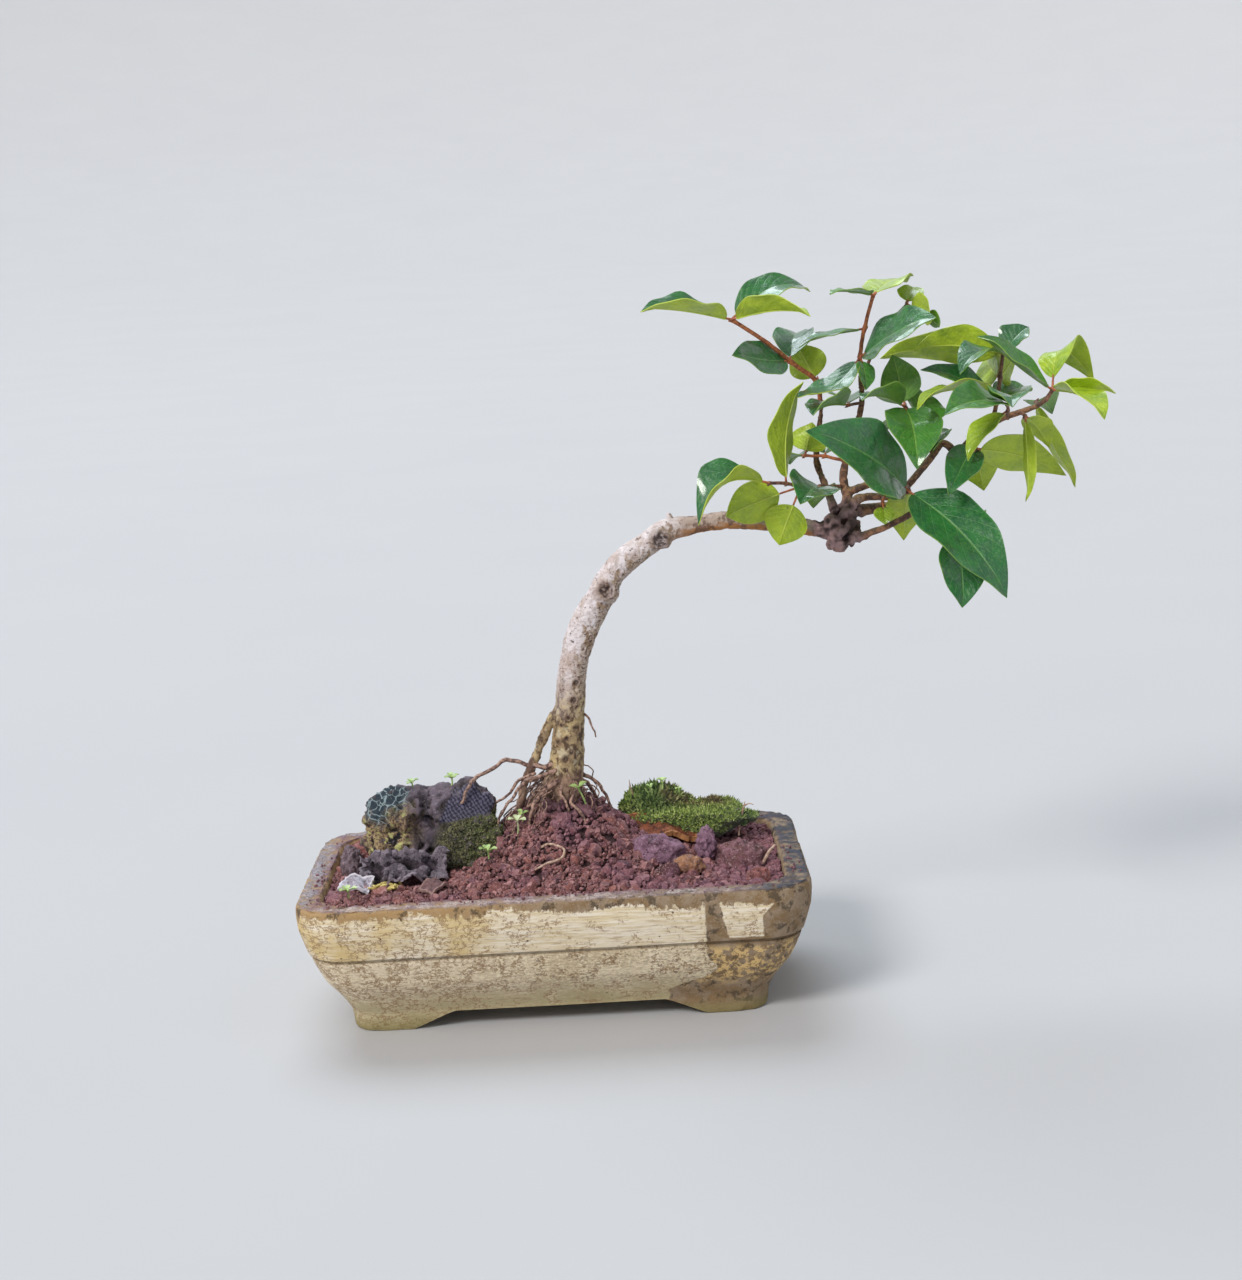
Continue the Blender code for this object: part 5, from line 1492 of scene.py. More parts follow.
    def relief(self, place: Vector, normal: Vector) -> float:
        """How far the bark stands out or in.

        Args:
            place: where, mm.
            normal: the way out there; not used.

        Returns:
            The push, mm.
        """
        foot = 1 - fade(place.z, 96, 122)
        burl = 1 - fade((place - Vector((121, 3, 183))).length, 8, 14)
        thin = fade(place.x, 127, 133) * fade(place.z, 176, 182)
        push = (0.36 - 0.24 * thin) * bumps(place, 5.5) + (0.24 - 0.14 * thin) * ridges(place, 2.2, 3) - 0.08
        push += foot * (0.55 * bumps(place, 4.0, 5) + 0.22 * ridges(place, 2.0, 9))
        push += burl * (0.75 * ridges(place, 4.6, 11) + 0.25 * ridges(place, 1.9, 13) - 0.25)
        for centre, radius, depth in self.scars:
            away = (place - Vector(centre)).length / radius
            away += 0.3 * bumps(place, 1.8, 21)
            push += depth * (0.6 * exp(-((away - 1.05) / 0.3) ** 2) - 1.0 * exp(-(away / 0.7) ** 2))
            push += 0.25 * depth * bumps(place, 0.9, 23) * exp(-(away / 0.9) ** 2)
        return push

    def skin(self) -> None:
        """Make the trunk, its limbs and its knots as one skin, and the larger roots against it."""
        sketch = Sketch()
        path, radii = fair(self.path, self.radii, 5)
        sketch.add(tube(path, radii, 28))
        for points, widths in (*self.limbs.values(), self.snag):
            path, radii = fair(points, widths, 4)
            sketch.add(tube(path, radii, 16))
        for centre, size, seed in self.burl_lumps:
            sketch.add(lump(centre, size, seed, 0.16, 4))
        for strand in self.strands():
            sketch.add(strand)
        mesh = skinned(sketch.mesh("trunk"), 0.5, 3)
        sculpt(mesh, self.relief)
        bark = CherryBark("cherry_bark", tuple((centre, radius) for centre, radius, _ in self.scars))
        show("trunk_and_limbs", mesh, [bark], ["trunk"], 75)

    def root_mesh(self) -> None:
        """Make the roots round the foot, thick and hair-fine."""
        sketch = Sketch()
        rng = random.Random(17)
        for name, (points, widths) in self.roots.items():
            share = 0.8 if name in ("long", "tendril") else 0.62
            path, radii = fair(points, [width * share for width in widths], 5)
            path = [path[0]] + [place + noise.noise_vector(place / 3) * 0.8 for place in path[1:]]
            radii = [radius * (1 + 0.18 * bumps(place, 2.0, 4)) for place, radius in zip(path, radii)]
            sketch.add(tube(path, radii, 9))
        for index in range(self.hair_roots):
            side = rng.uniform(120, 250) if index % 3 else rng.uniform(0, 360)
            angle = radians(side)
            start = Vector((5 + 4 * cos(angle), 10 + 4 * sin(angle), rng.uniform(80, 93)))
            reach = rng.uniform(9, 30) if index % 3 else rng.uniform(8, 16)
            foot = Vector((start.x + reach * cos(angle), start.y + reach * sin(angle) * 0.8, 0))
            foot.z = mound(foot.x, foot.y) - 1.5
            middle = start.lerp(foot, 0.45) + Vector((rng.uniform(-3, 3), rng.uniform(-3, 3),
                                                      rng.uniform(0, 5)))
            later = start.lerp(foot, 0.75) + Vector((rng.uniform(-3, 3), rng.uniform(-3, 3),
                                                     rng.uniform(-1, 4)))
            later.z = max(later.z, mound(later.x, later.y) + 0.3)
            width = rng.uniform(0.18, 0.42)
            path, radii = fair((start, middle, later, foot), (width, width, width * 0.8, width * 0.5), 6)
            drift = Vector((index, 0, 0))
            path[1:-1] = [place + noise.noise_vector(place / 4 + drift) * 2.2 for place in path[1:-1]]
            sketch.add(tube(path, radii, 6))
        show("roots", sketch, [ROOTLET], sharp=80)

    def build(self) -> None:
        """Make the trunk and its roots."""
        self.skin()
        self.root_mesh()


# Leaves


class Tone(Enum):
    """A leaf's age and any painted backlight, which set the colours of its two sides."""

    DARK = (TOP_DARK, UNDER_GREEN)
    # A dark leaf whose lime underside is painted light shining through it.
    LIT = (TOP_DARK, UNDER_LIME_AND_GLOW)
    MID = (TOP_MID, UNDER_GREEN)
    # Young leaves, whose lime colours are partly their own and partly painted light shining through.
    YOUNG_AND_GLOWING = (TOP_YOUNG_AND_GLOW, UNDER_LIME_AND_GLOW)


@dataclass(frozen=True)
class Leaf:
    """One leaf of a spray.

    node: which twig point it grows from; tip: its point, mm; width: mm; face: the way its upper
    side looks; bow: rise of its back as a share of its length; fold: degrees that each half is
    raised from flat; stalk: length before the blade, mm.
    """

    node: int
    tip: Point
    width: float
    face: Point
    bow: float
    fold: float
    tone: Tone
    stalk: float = 2.5
    thickness: float = 0.36
    rows: int = 28
    columns: int = 17

    def half_width(self, share: float) -> float:
        """Half the blade's width at a share of its length, mm."""
        return max(self.width / 2 * share ** 0.55 * (1 - share ** 1.5) / 0.451, 0.12)

    def middle_line(self, base: Vector, reach: float) -> Vector:
        """Find a place on the midrib.

        Args:
            base: where the leaf grows from the twig, mm.
            reach: how far out the place is, mm.

        Returns:
            The place, mm.
        """
        chord = Vector(self.tip) - base
        along, _, up = self.axes(base)
        return base + along * reach + up * (self.bow * chord.length * sin(pi * reach / chord.length))

    def axes(self, base: Vector) -> tuple[Vector, Vector, Vector]:
        """Find how the leaf lies.

        Args:
            base: where it grows from the twig, mm.

        Returns:
            Directions along the leaf, across it and out of its upper side.
        """
        along = (Vector(self.tip) - base).normalized()
        up = Vector(self.face)
        up = (up - up.dot(along) * along).normalized()
        return along, along.cross(up), up

    def blade(self, base: Vector) -> tuple[np.ndarray, np.ndarray]:
        """Shape the blade's middle surface.

        Args:
            base: where the leaf grows from the twig, mm.

        Returns:
            Its points in rows, and the direction out of it at each.
        """
        along, across, up = self.axes(base)
        length = (Vector(self.tip) - base).length
        fold = radians(self.fold)
        phase = 1.7 * self.tip[0] + self.tip[2]
        grid = np.zeros((self.rows, self.columns, 3))
        for row in range(self.rows):
            t = 0.5 - 0.5 * cos(pi * row / (self.rows - 1))
            reach = self.stalk + t * (length - self.stalk)
            share = reach / length
            half = self.half_width(t)
            middle = self.middle_line(base, reach) - up * (0.045 * length * fade(t, 0.8, 1.0) ** 2)
            for column in range(self.columns):
                s = 2 * column / (self.columns - 1) - 1
                lift = (sqrt(s * s + 0.02) - 0.141) * half * sin(fold)
                wave = -s * 0.04 * half * sin(9 * share)
                ripple = 0.075 * half * abs(s) ** 3 * sin(15 * share + phase + s)
                quilt = 0.05 * abs(sin(pi * (t * 10 - abs(s) * 2.4))) * (1 - s * s) * min(1.0, half / 4)
                groove = 0.2 * exp(-((s * half / 0.7) ** 2)) * fade(half, 0.5, 2)
                rise = lift + wave + ripple + quilt - groove
                grid[row, column] = middle + across * (half * s * cos(fold)) + up * rise
        down = np.gradient(grid, axis=0)
        sideways = np.gradient(grid, axis=1)
        out = np.cross(down, sideways)
        out /= np.linalg.norm(out, axis=2)[:, :, None] + 1e-12
        if np.sum(out @ np.array(up)) < 0:
            out = -out
        return grid, out

    def draw(self, sketch: Sketch, base: Vector, slots: dict[Finish, int]) -> None:
        """Draw the leaf.

        Args:
            sketch: the spray that it is drawn in.
            base: where it grows from the twig, mm.
            slots: the slot of each finish.
        """
        grid, out = self.blade(base)
        rows, columns = self.rows, self.columns
        upper = (grid + out * self.thickness / 2).reshape(-1, 3)
        lower = (grid - out * self.thickness / 2).reshape(-1, 3)
        count = rows * columns
        spots = [(s / (columns - 1), t / (rows - 1)) for t in range(rows) for s in range(columns)]
        top_faces = squares(rows, columns)
        under_faces = [tuple(count + index for index in reversed(face)) for face in top_faces]
        under_faces += [(there, here, count + here, count + there) for here,
                        there in paired(brink(rows, columns))]
        row, column = rows // 2, columns // 2
        here = grid[row, column]
        if np.cross(grid[row, column + 1] - here, grid[row + 1, column + 1] - here) @ out[row, column] < 0:
            top_faces = [tuple(reversed(face)) for face in top_faces]
            under_faces = [tuple(reversed(face)) for face in under_faces]
        top, under = self.tone.value
        start = sketch.count
        sketch.add((np.concatenate([upper, lower]), top_faces), slots[top], spots * 2)
        for face in under_faces:
            sketch.faces.append(tuple(start + index for index in face))
            sketch.slots.append(slots[under])
            sketch.corners.extend(spots[index % count] for index in face)
        stalk = [self.middle_line(base, self.stalk * step / 4 + 0.15 * step) for step in range(5)]
        sketch.add(tube(stalk, [0.62, 0.5, 0.45, 0.42, 0.38], 8), slots[RED_TWIG])
        sunk = (grid - out * (self.thickness / 2 + 0.02))[:rows - 5:2, columns // 2]
        rib = [Vector(point) for point in sunk]
        widths = [0.36 * (1 - 0.7 * index / len(rib)) for index in range(len(rib))]
        sketch.add(tube(rib, widths, 6), slots[under])


@dataclass(frozen=True)
class Spray:
    """A twig with its leaves."""

    name: str
    twig: tuple[Point, ...]
    radius: float
    leaves: tuple[Leaf, ...]
    bark: Twig = BROWN_TWIG
    sunlit: bool = False

    def build(self) -> None:
        """Make the spray as one piece."""
        finishes: list[Finish] = []
        for leaf in self.leaves:
            finishes.extend(leaf.tone.value)
        finishes = list(dict.fromkeys([*finishes, RED_TWIG, self.bark]))
        slots = {finish: index for index, finish in enumerate(finishes)}
        sketch = Sketch()
        count = len(self.twig)
        radii = [self.radius * 0.86 * (1 - 0.3 * index / count) for index in range(count)]
        start = Vector(self.twig[0])
        start -= (Vector(self.twig[1]) - start).normalized() * 1.4
        path, widths = fair((start, *self.twig[1:]), radii, 6)
        path = [place + noise.noise_vector(place / 4) * 0.35 * fade(index, 0, 3) * fade(len(path) - 1 - index,
                                                                                        0, 3)
                for index, place in enumerate(path)]
        joints = {leaf.node * 6 for leaf in self.leaves}
        widths = [width * (1.3 if index in joints else 1.0) for index, width in enumerate(widths)]
        sketch.add(tube(path, widths, 10), slots[self.bark])
        for leaf in self.leaves:
            leaf.draw(sketch, Vector(self.twig[leaf.node]), slots)
        for index in sorted(joints):
            bud = path[index]
            along = (path[min(index + 1, len(path) - 1)] - path[max(index - 1, 0)]).normalized()
            side = along.orthogonal().normalized() * (widths[index] + 0.7)
            scale = tube([bud, bud + side * 0.6 + along * 0.5, bud + side + along * 1.3], [0.6, 0.55, 0.15],
                         6)
            sketch.add(scale, slots[self.bark])
        show("leafy_" + self.name, sketch, finishes, ["spray_" + self.name], 50)


D, S, M, Y = Tone.DARK, Tone.LIT, Tone.MID, Tone.YOUNG_AND_GLOWING
SPRAYS = (
    Spray("left_tip", ((116, 20, 232), (115, 18, 239), (104, 12, 248), (95, 6, 256), (81, 0, 266)), 1.2, (
        Leaf(4, (46, -14, 273), 22, (0, -1.2, 10), 0.03, 33, S),
        Leaf(4, (114, 20, 276), 17, (0, -6, 10), 0.18, 16, S),
        Leaf(4, (110, -22, 268), 19, (0, 5, 10), 0.06, 25, Y),
        Leaf(2, (81, -14, 254), 17, (0, -9, 6), -0.04, 10, D),
        Leaf(2, (110, 42, 258), 18, (0, -2, 10), 0.1, 25, D),
        Leaf(1, (108, 24, 254), 16, (0, 10, 2), 0.06, 12, Y)), RED_TWIG),
    Spray("crown", ((132, 14, 243), (132, 14, 248), (134, 14, 259), (138, 14, 272)), 1.1, (
        Leaf(3, (119, -6, 275), 13, (0, 0, 10), 0.03, 6, M),
        Leaf(3, (155, 43, 277), 20, (-1, 0, 10), 0.06, 8, Y),
        Leaf(2, (107, 4, 255), 14, (0, 0, 10), 0.03, 8, D),
        Leaf(1, (158, -9, 264), 26, (-2, -6, 9), 0.04, 12, D),
        Leaf(1, (104, -12, 237), 15, (0, -1.5, 10), -0.14, 12, S),
        Leaf(1, (133, 4, 236), 9, (5, -10, 2), 0.06, 15, M)), RED_TWIG),
    Spray("crown_right", ((132, 14, 237), (135, 18, 244), (140, 22, 253), (147, 26, 262), (153, 28, 267)),
          0.9, (
        Leaf(4, (158, 43, 274), 11, (2, 0, 10), 0.05, 10, Y),
        Leaf(4, (161, 16, 262), 15, (1, 9, 5), 0.06, 12, Y),
        Leaf(4, (165, 20, 258), 8, (0, 8, 6), 0.08, 15, M, 9)), sunlit=True),
    Spray("left_low", ((122, 6, 198), (113, 0, 199), (105, -4, 200), (99, -8, 202), (92, -12, 203)), 1.0, (
        Leaf(4, (63, -24, 191), 26, (0, -1, 10), 0.26, 40, S),
        Leaf(3, (106, -4, 241), 18, (-8, 6, 2), 0.08, 15, Y),
        Leaf(2, (74.5, -10, 191), 18, (0, 10, 2), 0.05, 10, Y, 9),
        Leaf(2, (95, -8, 178), 18, (0, 10, 2), 0.05, 10, Y, 8),
        Leaf(1, (103, -26, 197), 22, (0, -8, 7), 0.08, 20, D),
        Leaf(1, (112, 24, 189), 16, (0, 6, 8), 0.08, 15, M)), sunlit=True),
    Spray("inner_left", ((123, 8, 208), (116, 8, 210), (108, 7, 211)), 0.8, (
        Leaf(2, (112, 14, 223), 16, (2, 10, 2), 0.06, 15, Y),
        Leaf(2, (103, 22, 207), 16, (0, -3, 10), 0.08, 20, D),
        Leaf(1, (123, 40, 213), 20, (0, 3, 10), 0.1, 20, M)), RED_TWIG),
    Spray("centre", ((159, 12, 209), (156, 10, 215), (153, 8, 222), (148, 6, 228)), 1.2, (
        Leaf(3, (145, 14, 248), 17, (2, 10, 3), 0.06, 12, M),
        Leaf(3, (148, -26, 208), 24, (1, -8, 5), 0.1, 20, M),
        Leaf(3, (129, -12, 234), 18, (0, 4, 10), 0.1, 25, D),
        Leaf(2, (159, 24, 232), 20, (2, -10, 3), 0.05, 15, M),
        Leaf(1, (155, -18, 214), 20, (0, -3, 10), 0.05, 25, M),
        Leaf(2, (143, 30, 218), 16, (0, -5, 10), 0.05, 20, M))),
    Spray("stem_left", ((131.5, 12.8, 230), (126, 6, 230)), 0.8, (
        Leaf(1, (110, -10, 229), 22, (0, 4, 10), 0.08, 25, D),
        Leaf(1, (127, 32, 230), 16, (0, -2, 10), 0.08, 25, M))),
    Spray("right_stem", ((181.5, 7, 219.3), (186, 16, 227), (188, 20, 236), (190, 22, 246)), 1.1, (
        Leaf(3, (154, 20, 250), 18, (0, 10, 5), 0.12, 10, Y),
        Leaf(3, (168, -6, 242), 17, (0, -1, 10), 0.12, 20, D),
        Leaf(3, (201, 26, 256), 16, (0, -4, 10), 0.06, 25, D),
        Leaf(2, (187, 46, 245), 22, (-2, 10, 4), 0.05, 10, Y),
        Leaf(2, (196, 30, 243), 15, (0, 10, 4), 0.05, 10, Y),
        Leaf(1, (156, 10, 243), 14, (0, -6, 9), 0.08, 15, D),
        Leaf(1, (149, -18, 231), 17, (0, 3, 10), 0.11, 20, Y),
        Leaf(1, (201, 32, 232), 16, (0, -3, 10), 0.05, 20, M),
        Leaf(3, (144, 44, 247), 18, (0, 8, 7), 0.06, 10, Y))),
    Spray("right_inner", ((188, 4, 222), (187, -2, 225), (186, -8, 228)), 0.9, (
        Leaf(2, (158, -34, 229), 20, (0, -6, 9), 0.08, 20, M),
        Leaf(1, (168.5, -14, 208.5), 12, (-4, -4, 8), 0.1, 20, Y),
        Leaf(2, (182, -40, 231), 18, (0, -3, 10), 0.1, 20, D))),
    Spray("right_under", ((174, 9, 213), (174, 2, 212), (174, -4, 211)), 0.9, (
        Leaf(1, (179.5, 14, 193), 17, (0, 7, 6), 0.05, 10, Y),
        Leaf(2, (211.5, 12, 198), 17, (-1, 9, 5), 0.1, 10, Y),
        Leaf(1, (160, -24, 197), 15, (-1, -9, 4), 0.05, 20, D)), sunlit=True),
    Spray("right_hanging", ((193, 1, 223.6), (193, -6, 223)), 0.9, (
        Leaf(1, (193, -10, 190), 8, (9, 5, 1), 0.02, 15, Y),
        Leaf(1, (205, 8, 209.5), 12, (2, 6, 7), 0.08, 15, Y)), sunlit=True),
    Spray("right_outer", ((199, 2, 225.8), (200, 8, 227)), 0.9, (
        Leaf(1, (221, 32, 191), 10, (6, 5, 4), -0.04, 12, Y),
        Leaf(1, (211, 33, 221), 15, (0, 6, 8), 0.08, 20, M)), sunlit=True),
    Spray("right_tip", ((203, 0, 229), (205, 0, 232)), 1.1, (
        Leaf(1, (176, -8, 256), 18, (3, -4, 10), -0.02, 25, M),
        Leaf(1, (224, 14, 234.5), 22, (-1, 3, 10), 0.6, 10, Y),
        Leaf(1, (228, -8, 231), 15, (0, 5, 9), 0.03, 12, Y),
        Leaf(1, (220, -26, 223), 20, (0, 3, 10), 0.1, 20, Y)), sunlit=True),
    Spray("front", ((148, 4.8, 196.6), (147, -4, 196)), 1.2, (
        Leaf(1, (107, -34, 225), 30, (2, -9, 6), 0.08, 15, D),
        Leaf(1, (180, -34, 158), 28, (3, -9, 5), 0.1, 15, D),
        Leaf(1, (147.5, 20, 174.5), 16, (0, 8, 6), 0.05, 10, Y))),
    Spray("heart", ((138, 5, 192.8), (137, -2, 192)), 0.8, (
        Leaf(1, (137, -8, 184), 8.5, (0, -9, 5), 0.03, 10, Y),
        Leaf(1, (141, -5, 202), 14, (0, -7, 6), 0.05, 15, M)), sunlit=True),
    Spray("lower_tip", ((150.5, -5.7, 186), (158, -7, 183), (165, -7, 179)), 1.1, (
        Leaf(2, (164.5, -22, 152), 20, (2, -9, 4), 0.05, 15, D),
        Leaf(2, (177, 26, 176), 18, (1, 3, 10), 0.12, 20, M))),
)


# Moss, stump, stones and litter


def spikes(sketch: Sketch, mesh: Mesh, count: int, seed: int, size: Callable[[Vector, Vector], float],
           slot: int) -> None:
    """Grow shoots of moss, each a star of pointed leaves, from a surface.

    Args:
        sketch: the piece that they are drawn in.
        mesh: the surface, mm.
        count: how many are tried.
        seed: picks the places.
        size: gives the length of a shoot at a place with a normal, mm, or 0 for none.
        slot: their material slot.
    """
    rng = random.Random(seed)
    areas = np.cumsum([face.area for face in mesh.polygons])
    picks = np.searchsorted(areas, [rng.uniform(0, areas[-1]) for _ in range(count)])
    for pick in picks:
        face = mesh.polygons[min(int(pick), len(mesh.polygons) - 1)]
        corners = [mesh.vertices[index].co for index in face.vertices[:3]]
        a, b = sorted((rng.random(), rng.random()))
        place = corners[0] * a + corners[1] * (b - a) + corners[2] * (1 - b)
        length = size(place, face.normal) * rng.uniform(0.7, 1.3)
        if length <= 0:
            continue
        stem = (face.normal + Vector((rng.uniform(-0.5, 0.5), rng.uniform(-0.5, 0.5), 0.5))).normalized()
        side = stem.orthogonal().normalized()
        other = stem.cross(side)
        turn = rng.uniform(0, tau)
        for index in range(6):
            angle = turn + tau * index / 5
            lean = 0.15 if index == 5 else rng.uniform(0.55, 1.3)
            along = (stem + (side * cos(angle) + other * sin(angle)) * lean).normalized()
            flat = along.orthogonal().normalized()
            deep = along.cross(flat)
            width = 0.16 * length
            root = place - stem * 0.25 + stem * length * 0.06 * index
            tip = root + along * length * (1.15 if index == 5 else 0.85)
            belly = root + along * length * 0.4
            points = [root, belly + flat * width, belly - flat * width + deep * width * 0.7, tip]
            faces = [(0, 2, 1), (0, 1, 3), (1, 2, 3), (2, 0, 3)]
            sketch.add((np.array(points), faces), slot)


@dataclass
class Stump:
    """The old weathered stump with its hollow, its smooth broken face, lichen and moss."""

    lumps: tuple[Lump, ...] = (
        ((-50, 11, 66), (25, 13, 17), 31, 0), ((-37, 8, 72), (15, 13, 14), 32, 10),
        ((-62, 8, 75), (13.5, 12, 10.5), 33, -8), ((-35, -1, 61), (15, 11, 9.5), 34, 0),
        ((-62, 2, 62), (13, 8, 9), 35, 0))
    hollow: tuple[Point, Point, int] = ((-52, -7, 71), (7.5, 9, 6.5), 36)
    facet_centre: Point = (-37, -3, 75)
    facet_normal: Point = (0.2978, -0.8437, 0.4466)
    facet_reach: float = 17.0

    def facet_offset(self, place: Vector) -> float:
        """How far a place lies outside the plane of the broken face, mm."""
        return (place - Vector(self.facet_centre)).dot(Vector(self.facet_normal))

    def face(self, place: Vector) -> float:
        """Whether a place lies within the corners of the broken face.

        Args:
            place: the place, mm.

        Returns:
            1 within them, 0 outside and between these at their edge.
        """
        share = 1.0
        for across, along, start in FACE_EDGES:
            share *= fade(place.x * across + place.z * along + start + 1.5 * bumps(place, 4, 31), -0.6, 0.8)
        return share

    def slice(self, mesh: Mesh) -> None:
        """Press the right shoulder back to the plane of the broken face.

        Args:
            mesh: the stump, mm.
        """
        normal = Vector(self.facet_normal)
        for vertex in mesh.vertices:
            offset = self.facet_offset(vertex.co)
            flat = vertex.co - normal * offset
            if offset > 0 and (flat - Vector(self.facet_centre)).length < self.facet_reach * 1.35:
                vertex.co = flat
        mesh.update()

    def relief(self, place: Vector, normal: Vector) -> float:
        """How far the weathered surface stands out or in.

        Args:
            place: where, mm.
            normal: the way out there; not used.

        Returns:
            The push, mm.
        """
        away = abs(self.facet_offset(place))
        facet = (1 - fade(away, 0.5, 1.4)) * self.face(place)
        upper = fade(place.z, 52, 60)
        tall = Vector((place.x, place.y, place.z * 0.55))
        push = 1.35 * ridges(tall, 6.5, 2) + 0.8 * ridges(place, 2.6, 5) + 0.5 * bumps(place, 1.4, 9) - 0.55
        left = 1 - fade((place - Vector((-72, 0, 66))).length, 8, 18)
        push += left * (0.8 * ridges(place, 4.0, 12) - 0.3)
        grain = 0.08 * ridges(place, 1.6, 41) + 0.2 * bumps(place, 5, 43)
        edge = fade(away, 0.3, 1.6) * (1 - fade(away, 1.6, 3.6))
        low = 1 - fade((place - Vector((-33, -10, 62))).length, 12, 20)
        push += low * (0.9 * ridges(place, 2.4, 7) + 0.5)
        return (push * (1 - facet) + grain * facet + 0.35 * edge * (1 - facet)) * (0.3 + 0.7 * upper)

    def build(self) -> None:
        """Make the stump and its moss."""
        sketch = Sketch()
        for centre, size, seed, turn in self.lumps:
            sketch.add(lump(centre, size, seed, 0.2, 5, turn))
        mesh = skinned(sketch.mesh("stump"), 0.8, 2)
        centre, size, seed = self.hollow
        mesh = cut(mesh, lump(centre, size, seed, 0.2, 4))
        mesh = skinned(mesh, 0.6, 2)
        self.slice(mesh)
        sculpt(mesh, self.relief)
        wood = StumpWood("stump_wood", self.facet_centre, self.facet_normal)
        tufts = Sketch()
        spikes(tufts, mesh, 7000, 61, self.moss_length, 0)
        show("weathered_stump", mesh, [wood], ["stump"], 70)
        show("stump_moss", tufts, [Moss("stump_moss_shoot", shade=0.5)])

    def moss_length(self, place: Vector, normal: Vector) -> float:
        """How long the moss grows on the stump.

        Args:
            place: where, mm.
            normal: the way out there; not used.

        Returns:
            The length or 0, mm.
        """
        faced = abs(self.facet_offset(place)) < 1.6 and self.face(place) > 0.2
        if place.z < mound(place.x, place.y) or faced:
            return 0.0
        low_right = 1 - fade((place - Vector((-31, -10, 62))).length, 10, 20)
        ridge = 1 - fade((place - Vector((-21, 4, 70))).length, 4, 11)
        cover = max(low_right, ridge) - 0.45 * (0.5 + bumps(place, 5, 3))
        return 0.9 * fade(cover, 0.1, 0.6) if cover > 0.1 else 0.0


@dataclass
class MossCushion:
    """The green cushion and its shoots."""

    lumps: tuple[Lump, ...] = (
        ((56, 21.5, 61.5), (28, 12.5, 7.2), 41, -2), ((43, 28, 64), (15, 10, 10), 42, 0),
        ((64, 30, 60), (15, 9, 8.5), 43, 0))
    shoots: int = 5600

    def relief(self, place: Vector, normal: Vector) -> float:
        """How far the cushion bulges at a place, mm."""
        return 0.8 * bumps(place, 5, 3) + 0.5 * bumps(place, 2.2, 6) - 0.9

    def length(self, place: Vector, normal: Vector) -> float:
        """How long a shoot of the cushion grows.

        Args:
            place: where, mm.
            normal: the way out there.

        Returns:
            The length or 0, mm.
        """
        if normal.z < -0.35 or place.z < mound(place.x, place.y) - 0.5:
            return 0.0
        tall = 1 - fade((place - Vector((41, 27, 72))).length, 6, 14)
        return 1.4 + 1.5 * tall + 0.7 * bumps(place, 4, 8)

    def build(self) -> None:
        """Make the cushion."""
        sketch = Sketch()
        for centre, size, seed, turn in self.lumps:
            sketch.add(lump(centre, size, seed, 0.22, 4, turn))
        mesh = skinned(sketch.mesh("moss"), 1.0, 2)
        sculpt(mesh, self.relief)
        tufts = Sketch()
        spikes(tufts, mesh, self.shoots, 62, self.length, 0)
        show("moss_bed", mesh, [SHADED_MOSS_BED], ["moss_cushion"])
        show("moss_shoots", tufts, [MOSS_SHOOT])


@dataclass(frozen=True)
class BarkSheet:
    """A thin crumpled piece of bark that lies on the soil.

    centre, length, width, arch, wave and thickness in mm; turn about the upright and tilt about
    its long side in degrees; crumple: depth of its creases, mm.
    """

    name: str
    finish: DeadBark
    slot: str
    centre: Point
    length: float
    width: float
    turn: float
    tilt: float
    arch: float
    wave: float
    thickness: float
    crumple: float

    def surface(self, u: float, v: float) -> Vector:
        """Find a place on the crumpled sheet.

        Args:
            u, v: shares of its length and width.

        Returns:
            The place, mm.
        """
        rough = 0.06 + 0.02 * self.crumple
        share = Vector((u, v, 0))
        ragged = 1 + rough * (bumps(share * 9, 1, 5) + 0.6 * bumps(share * 30, 1, 7))
        x = self.length * (u - 0.5) * ragged
        y = self.width * (v - 0.5) * ragged
        flat = Vector((x, y, 0))
        z = self.arch * sin(pi * u) + self.wave * sin(11 * u + 4 * v)
        z += self.crumple * (bumps(flat, 7, 3) + 0.55 * ridges(flat, 4.5, 8) + 0.18 * bumps(flat, 1.3, 2))
        z += 0.55 * self.crumple * abs(2 * v - 1) ** 4
        turned = Matrix.Rotation(radians(self.turn), 3, "Z") @ Matrix.Rotation(radians(self.tilt), 3, "X")
        return turned @ Vector((x, y, z)) + Vector(self.centre)

    def build(self) -> None:
        """Make the sheet."""
        columns = max(12, round(self.length / 0.45))
        rows = max(8, round(self.width / 0.45))
        points, edge = [], []
        level = Matrix.Rotation(radians(-self.tilt), 3, "X") @ Matrix.Rotation(radians(-self.turn), 3, "Z")
        for row in range(rows + 1):
            for column in range(columns + 1):
                points.append(self.surface(column / columns, row / rows))
                # Each point keeps 1 on the border, for the worn edge, and elsewhere its height, which the
                # finish turns into painted highlight and painted shade.
                nearest = min(column, columns - column, row, rows - row)
                high = (level @ (points[-1] - Vector(self.centre))).z - self.arch * sin(pi * column / columns)
                edge.append(1.0 if nearest < 2 else max(-1.0, min(0.7, 0.35 * high)))
        sketch = Sketch()
        sketch.add((np.array(points), squares(rows + 1, columns + 1)))
        mesh = sketch.mesh(self.name)
        kept = mesh.attributes.new("relief", "FLOAT", "POINT")
        kept.data.foreach_set("value", edge)
        mesh = reworked(mesh, ("SOLIDIFY", {"thickness": self.thickness, "offset": 0.0}))
        show(self.name + "_piece", mesh, [self.finish], [self.name], 60)


